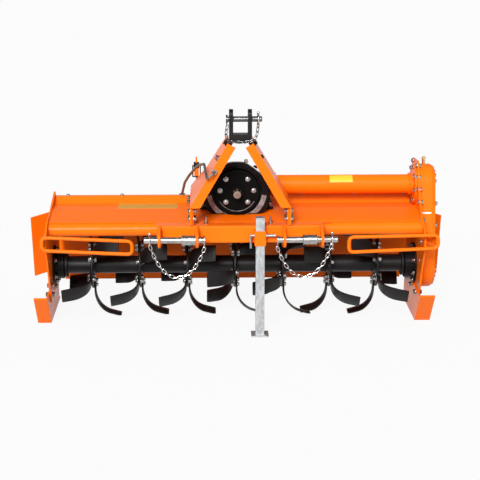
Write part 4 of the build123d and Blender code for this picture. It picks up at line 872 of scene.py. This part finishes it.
bands = [flange(x - 4, x + 4, *PIN, 23.4) for x in (-262, -209, 284, 339)]
bands += [flange(x - 1, x + 1, *PIN, 22.6) for x in (-236, -229, 308, 315)]
make("sleeve_bands", together(*bands), "frame", zinc)

hole = lathe([0, 0.4, 0.4, 0.1], [7.6, 7.0, 5.8, 5.6], sides=20)
HOLE_H = (-150, -90, -30, 30, 90, 150, 280)
hole_spots = [(88 + s * 20, -330.8, h) for s in (-1, 1) for h in HOLE_H]
hole_axes = [(s, 0, 0) for s in (-1, 1) for _ in HOLE_H]
# the holes' black discs are painted shade
make("stand_holes", repeat(hole, facing(hole_axes), places(hole_spots)), "stand", black)

# %% [markdown]
# The drive stub's end is turned flat and has a centre hole from the lathe. Thin rust has
# started on it, since nothing but oil protects it.

# %% Stub end
stub = lathe([-6, 0.4, 1.0, 0.7, -2, -4], [17.3, 17.3, 15.5, 4.5, 2.5, 0.6], sides=40)
make("stub_end", repeat(stub, facing([(0, -1, 0)])[0], places([(GEARBOX_X, -190, INPUT_H)])),
     "input", rust)

# %% [markdown]
# The board behind the rotor is stiffened by four upright flat bars and a long one across, on its
# outer face, which leans back as it falls. Its top edge is rolled in toward the hinge rod,
# between the knuckles.

# %% Board stiffeners
BOARD_OUT = (0, 0.966, 0.261)  # square to the board's outer face
BAR_X, BAR_THICK = (-620, -200, 240, 620), 6


def on_board(x, fall, out):
    """A place on the board's outer face: fall runs from 0 at the bend to 1 at the foot, and out
    is the way off the face."""
    y, h = 285 + 100 * fall, 195 - 370 * fall
    return (x, y + BOARD_OUT[1] * out, h + BOARD_OUT[2] * out)


def board_bar(x0, x1, fall0, fall1):
    """A flat bar on the board with eased edges, between two stations and two falls."""
    out, rows = BAR_THICK, []
    for f, share in ((fall0, 0.85), (fall0 + 0.004, 1), (fall1 - 0.004, 1), (fall1, 0.85)):
        m, w = (x0 + x1) / 2, (x1 - x0) / 2 * (0.97 + 0.03 * share)
        rows.append([on_board(m + s * w, f, o) for s, o in
                     ((-1, 0), (-1, out * share - 1), (-0.96, out * share), (0.96, out * share),
                      (1, out * share - 1), (1, 0))])
    return skin(places(rows))


bars = [board_bar(x - 22, x + 22, 0.04, 0.8) for x in BAR_X]
bars.append(board_bar(-860, 820, 0.80, 0.83))
# the hem's section, told from the hinge rod down the board's upper slant and off it
slant, off = np.array([0.7396, -0.6731]), np.array([0.6731, 0.7396])
hem = [np.array([185, 286]) + slant * d + off * o
       for d, o in ((12, -3), (12.6, -0.8), (13.5, -0.5), (20, -0.5), (20, -4), (13.5, -4))]
for x0, x1 in ((-866, -810), (-696, -306), (-191, 199), (314, 704), (819, 828)):
    bars.append(flat_strip(x0, x1, hem, 0.5))
make("board_stiffeners", together(*bars), "board", orange)
spots = [on_board(x, f, BAR_THICK) for x in BAR_X for f in (0.1, 0.74)]
bolts("board_bolts", spots, BOARD_OUT, "board", across=15, height=9)

# %% [markdown]
# The upright that sets the board's height, behind the left cheek, is held by a small black
# clamp: a plain bar with broken edges.

# %% Adjuster clamp
clamp = [(141, 437), (140, 439), (140, 463), (142, 465), (164, 465), (166, 463), (166, 439),
         (165, 437)]
make("adjuster_clamp", flat_strip(-213.5, -186.5, clamp, 1.5), "frame", black)

# %% [markdown]
# ## Labels
# The labels are printed films. Here they stay blank: a gold strip on the deck, a yellow patch on
# the side tube and a white line across the gear case's front. A film follows the face it is
# stuck to, so the patch on the tube is a piece of a slightly larger cylinder.

# %% Films
def patch(x0, x1, start, stop, radius, y, h):
    """A closed film on a tube along X: its front lies at r and its back 0.4 mm deeper."""
    t = np.radians(np.linspace(start, stop, 12))
    t, r = np.concatenate([t, t[::-1]]), np.repeat([radius, radius - 0.4], len(t))
    ring = np.stack([0 * t, y - r * np.cos(t), h + r * np.sin(t)], -1)
    return skin(places([ring + [x, 0, 0] for x in np.linspace(x0, x1, 4)]))


make("yellow_patch", patch(431, 540, 22, 78, 45.0, *TUBE), "frame", yellow_film)
gold = flat_strip(-572, -292, [(-8, 274.0), (88, 276.1), (88, 276.8), (-8, 274.7)], 0.3)
make("gold_strip", gold, "frame", gold_film)
line = [(-69.2, 255), (-67.9, 262), (-68.7, 262.2), (-70.0, 255.2)]
make("white_line", flat_strip(856, 906, line, 0.3), "frame", white_film)

# %% [markdown]
# ## Camera, floor and light
# A long lens from well back keeps the machine's edges nearly straight, as in a catalogue. It
# looks down a little, so that the deck shows.

# %% Camera
LOOK_DOWN, LOOK_RIGHT = math.radians(14), math.radians(1.5)
scene = bpy.context.scene
camera = bpy.data.objects.new("camera", bpy.data.cameras.new("camera"))
scene.collection.objects.link(camera)
camera.location = (-0.164, -6.476, 1.982)
camera.rotation_euler = (math.radians(90) - LOOK_DOWN, 0, -LOOK_RIGHT)
camera.data.lens = 105
camera.data.sensor_width = 36
scene.camera = camera
print("camera", round(camera.location.length, 2), "m from the origin")

# %% [markdown]
# The floor is pale studio board, large enough to fill the picture. A mixed-in glow, for the rays
# that see it, brings it near white, and the rest of the mix still takes the machine's shadow.
# More lamplight would do that too, but it would bleach the paint.

# %% Floor
floor_paint = finish("studio_floor", (0.6, 0.6, 0.6), 0.01, 0.8, grain=3, shine=0.1)
nodes, links = floor_paint.node_tree.nodes, floor_paint.node_tree.links


def seen_ray(nodes, links):
    """1 for a camera, glossy or transmission ray, 0 for one that carries diffuse light."""
    path = nodes.new("ShaderNodeLightPath")
    most = path.outputs["Is Camera Ray"]
    for kind in ("Is Glossy Ray", "Is Transmission Ray"):
        larger = nodes.new("ShaderNodeMath")
        larger.operation = "MAXIMUM"
        links.new(most, larger.inputs[0])
        links.new(path.outputs[kind], larger.inputs[1])
        most = larger.outputs[0]
    return most


GLOW_SHARE = 0.92
share = nodes.new("ShaderNodeMath")
share.operation = "MULTIPLY"
share.inputs[1].default_value = GLOW_SHARE
links.new(seen_ray(nodes, links), share.inputs[0])
glow = nodes.new("ShaderNodeEmission")
glow.inputs["Strength"].default_value = 1.0
blend = nodes.new("ShaderNodeMixShader")
links.new(share.outputs[0], blend.inputs["Fac"])
links.new(nodes["Principled BSDF"].outputs["BSDF"], blend.inputs[1])
links.new(glow.outputs["Emission"], blend.inputs[2])
links.new(blend.outputs["Shader"], nodes["Material Output"].inputs["Surface"])
corners = np.array([(-40, -30, 0), (40, -30, 0), (40, 60, 0), (-40, 60, 0)], float)
floor_mesh = bpy.data.meshes.new("floor")
floor_mesh.from_pydata(corners.tolist(), [], [(0, 1, 2, 3)])
floor_mesh.materials.append(floor_paint)
floor = bpy.data.objects.new("floor", floor_mesh)
scene.collection.objects.link(floor)
print("floor", np.ptp(corners, axis=0)[:2], "m")

# %% [markdown]
# The sky is white near the horizon and grey overhead, as in a studio with white walls and a dark
# ceiling, so that polished steel has something to mirror. It is dimmer as a light, and the
# paint keeps its colour. A broad sun from the front draws the soft shadows.

# %% Sky and sun
world = bpy.data.worlds.new("world")
scene.world = world
world.use_nodes = True
nodes, links = world.node_tree.nodes, world.node_tree.links
light_sky = nodes["Background"]
light_sky.inputs["Color"].default_value = (1, 1, 1, 1)
light_sky.inputs["Strength"].default_value = 0.45
seen_sky = nodes.new("ShaderNodeBackground")
seen_sky.inputs["Strength"].default_value = 1.0
way = nodes.new("ShaderNodeTexCoord")
height = nodes.new("ShaderNodeSeparateXYZ")
links.new(way.outputs["Generated"], height.inputs["Vector"])
shade = nodes.new("ShaderNodeValToRGB")
shade.color_ramp.elements[0].position = 0.12
shade.color_ramp.elements[0].color = (1, 1, 1, 1)
shade.color_ramp.elements[1].position = 0.40
shade.color_ramp.elements[1].color = (0.22, 0.22, 0.22, 1)
links.new(height.outputs["Z"], shade.inputs["Fac"])
links.new(shade.outputs["Color"], seen_sky.inputs["Color"])
sky = nodes.new("ShaderNodeMixShader")
links.new(seen_ray(nodes, links), sky.inputs["Fac"])
links.new(light_sky.outputs["Background"], sky.inputs[1])
links.new(seen_sky.outputs["Background"], sky.inputs[2])
links.new(sky.outputs["Shader"], nodes["World Output"].inputs["Surface"])

sun = bpy.data.objects.new("sun", bpy.data.lights.new("sun", "SUN"))
scene.collection.objects.link(sun)
sun.data.energy = 3.9
sun.data.angle = math.radians(20)
sun.location = (-1.2, -5.0, 3.3)
aim = Vector((0, 0, 0.4)) - sun.location
sun.rotation_euler = aim.to_track_quat("-Z", "Y").to_euler()
scene.view_settings.view_transform = "Standard"
print("sun", round(math.degrees(math.asin(-aim.normalized().z))), "degrees up")

# %% [markdown]
# The last step prints how many triangles the added pieces have.

# %% Finish
print(sum(piece_faces.values()), "triangles in", len(piece_faces), "added pieces")
